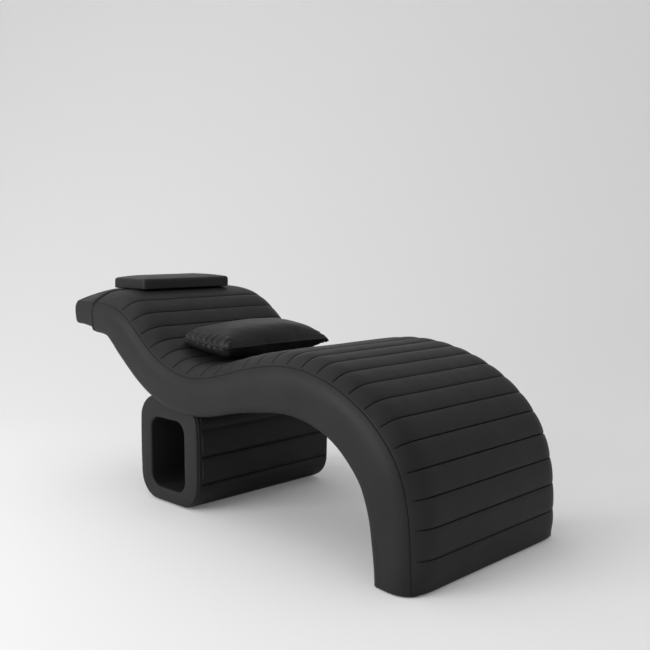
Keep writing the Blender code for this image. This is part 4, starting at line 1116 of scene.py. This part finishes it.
def backdrop_material():
    """Pale matt paper, lifted a little for the camera alone, the floor more than the wall."""
    made = Recipe("pale_backdrop", 0.9)
    made.shader.inputs["Base Color"].default_value = (*BACKDROP_COLOUR, 1.0)
    made.shader.inputs["Specular IOR Level"].default_value = 0.1
    depth = made.node("VectorMath", made.spot, 0, {1: (*BACK, 0.35)}, operation="DOT_PRODUCT")
    reach = {"From Min": LIFT_START, "From Max": LIFT_END, "To Min": FLOOR_LIFT, "To Max": WALL_LIFT}
    lift = made.node("MapRange", depth.outputs["Value"], "Value", reach, interpolation_type="SMOOTHSTEP")
    power = made.node("Math", lift.outputs["Result"], 0, {}, operation="MULTIPLY")
    made.link(made.tree.nodes.new("ShaderNodeLightPath").outputs["Is Camera Ray"], power, 1)
    made.link(power.outputs["Value"], made.shader, "Emission Strength")
    made.shader.inputs["Emission Color"].default_value = (1.0, 1.0, 1.0, 1.0)
    return made.material


def studio():
    """Pale floor that curves up into a pale wall behind the bed."""
    back, side = np.array(BACK), np.array((BACK[1], -BACK[0]))
    profile = [(-FLOOR_REACH, 0.0)]
    profile += [(COVE_START + COVE_RADIUS - z, x) for x, z in quarter_round(COVE_RADIUS, 40)]
    profile.append((COVE_START + COVE_RADIUS, WALL_HEIGHT))
    ends = (-FLOOR_REACH, FLOOR_REACH)
    verts = [(*(back * far + side * across), z) for far, z in profile for across in ends]
    faces = [(2 * k, 2 * k + 1, 2 * k + 3, 2 * k + 2) for k in range(len(profile) - 1)]
    item = new_mesh("studio_floor", verts, faces)
    item.data.materials.append(backdrop_material())


CAMERA_AZIMUTH = 44.86
CAMERA_PITCH = 5.65
CAMERA_PLACE = (FOOT_X + 1.475, -2.182, 0.985)
FOCAL_PIXELS = 880.0
PHOTO_PIXELS = 650.0
BACK = (-math.sin(math.radians(CAMERA_AZIMUTH)), math.cos(math.radians(CAMERA_AZIMUTH)))
BACKDROP_COLOUR = (0.835, 0.835, 0.837)
FLOOR_REACH = 12.0
COVE_START = 1.6
COVE_RADIUS = 4.0
WALL_HEIGHT = 9.0
LIFT_START = 0.6
LIFT_END = 3.4
FLOOR_LIFT = 0.085
WALL_LIFT = 0.035


def area_light(name, spot, target, size, power):
    data = bpy.data.lights.new(name, "AREA")
    data.shape = "RECTANGLE"
    data.size, data.size_y = size
    data.energy = power
    lamp = new_object(name, data)
    lamp.location = spot
    lamp.rotation_euler = (Vector(target) - Vector(spot)).to_track_quat("-Z", "Y").to_euler()


def lights():
    area_light("key", (-1.3, -4.6, 1.7), (0.0, 0.0, 0.4), (3.4, 2.2), 150.0)
    area_light("top", (-1.6, -1.3, 4.4), (0.1, 0.0, 0.0), (4.0, 4.0), 40.0)
    world = bpy.data.worlds.new("studio")
    world.use_nodes = True
    sky = world.node_tree.nodes["Background"].inputs
    sky["Color"].default_value = (0.99, 0.99, 1.0, 1.0)
    sky["Strength"].default_value = 0.60
    bpy.context.scene.world = world


def camera():
    data = bpy.data.cameras.new("camera")
    data.lens = FOCAL_PIXELS / PHOTO_PIXELS * data.sensor_width
    item = new_object("camera", data)
    item.location = CAMERA_PLACE
    item.rotation_euler = (math.radians(90.0 - CAMERA_PITCH), 0.0, math.radians(CAMERA_AZIMUTH))
    bpy.context.scene.camera = item
    bpy.context.scene.view_settings.view_transform = "Standard"


def carry_over():
    """Materials for the frame's own pieces that stay."""
    for name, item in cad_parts.items():
        if not item.hide_render:
            material = next((made for starts, made in CARRIED if name.startswith(starts)), LEATHER[0])
            item.data.materials.clear()
            item.data.materials.append(material)


top_cover = add_channel_cover()
for name, side in SIDES:
    add_seam_stitches(top_cover, add_side(name, side), name, side)
add_under_cover()
add_pedestal()
add_lip()
add_head_block()
add_head_pillow()
add_lumbar_trim(add_lumbar_pillow())
carry_over()
studio()
lights()
camera()
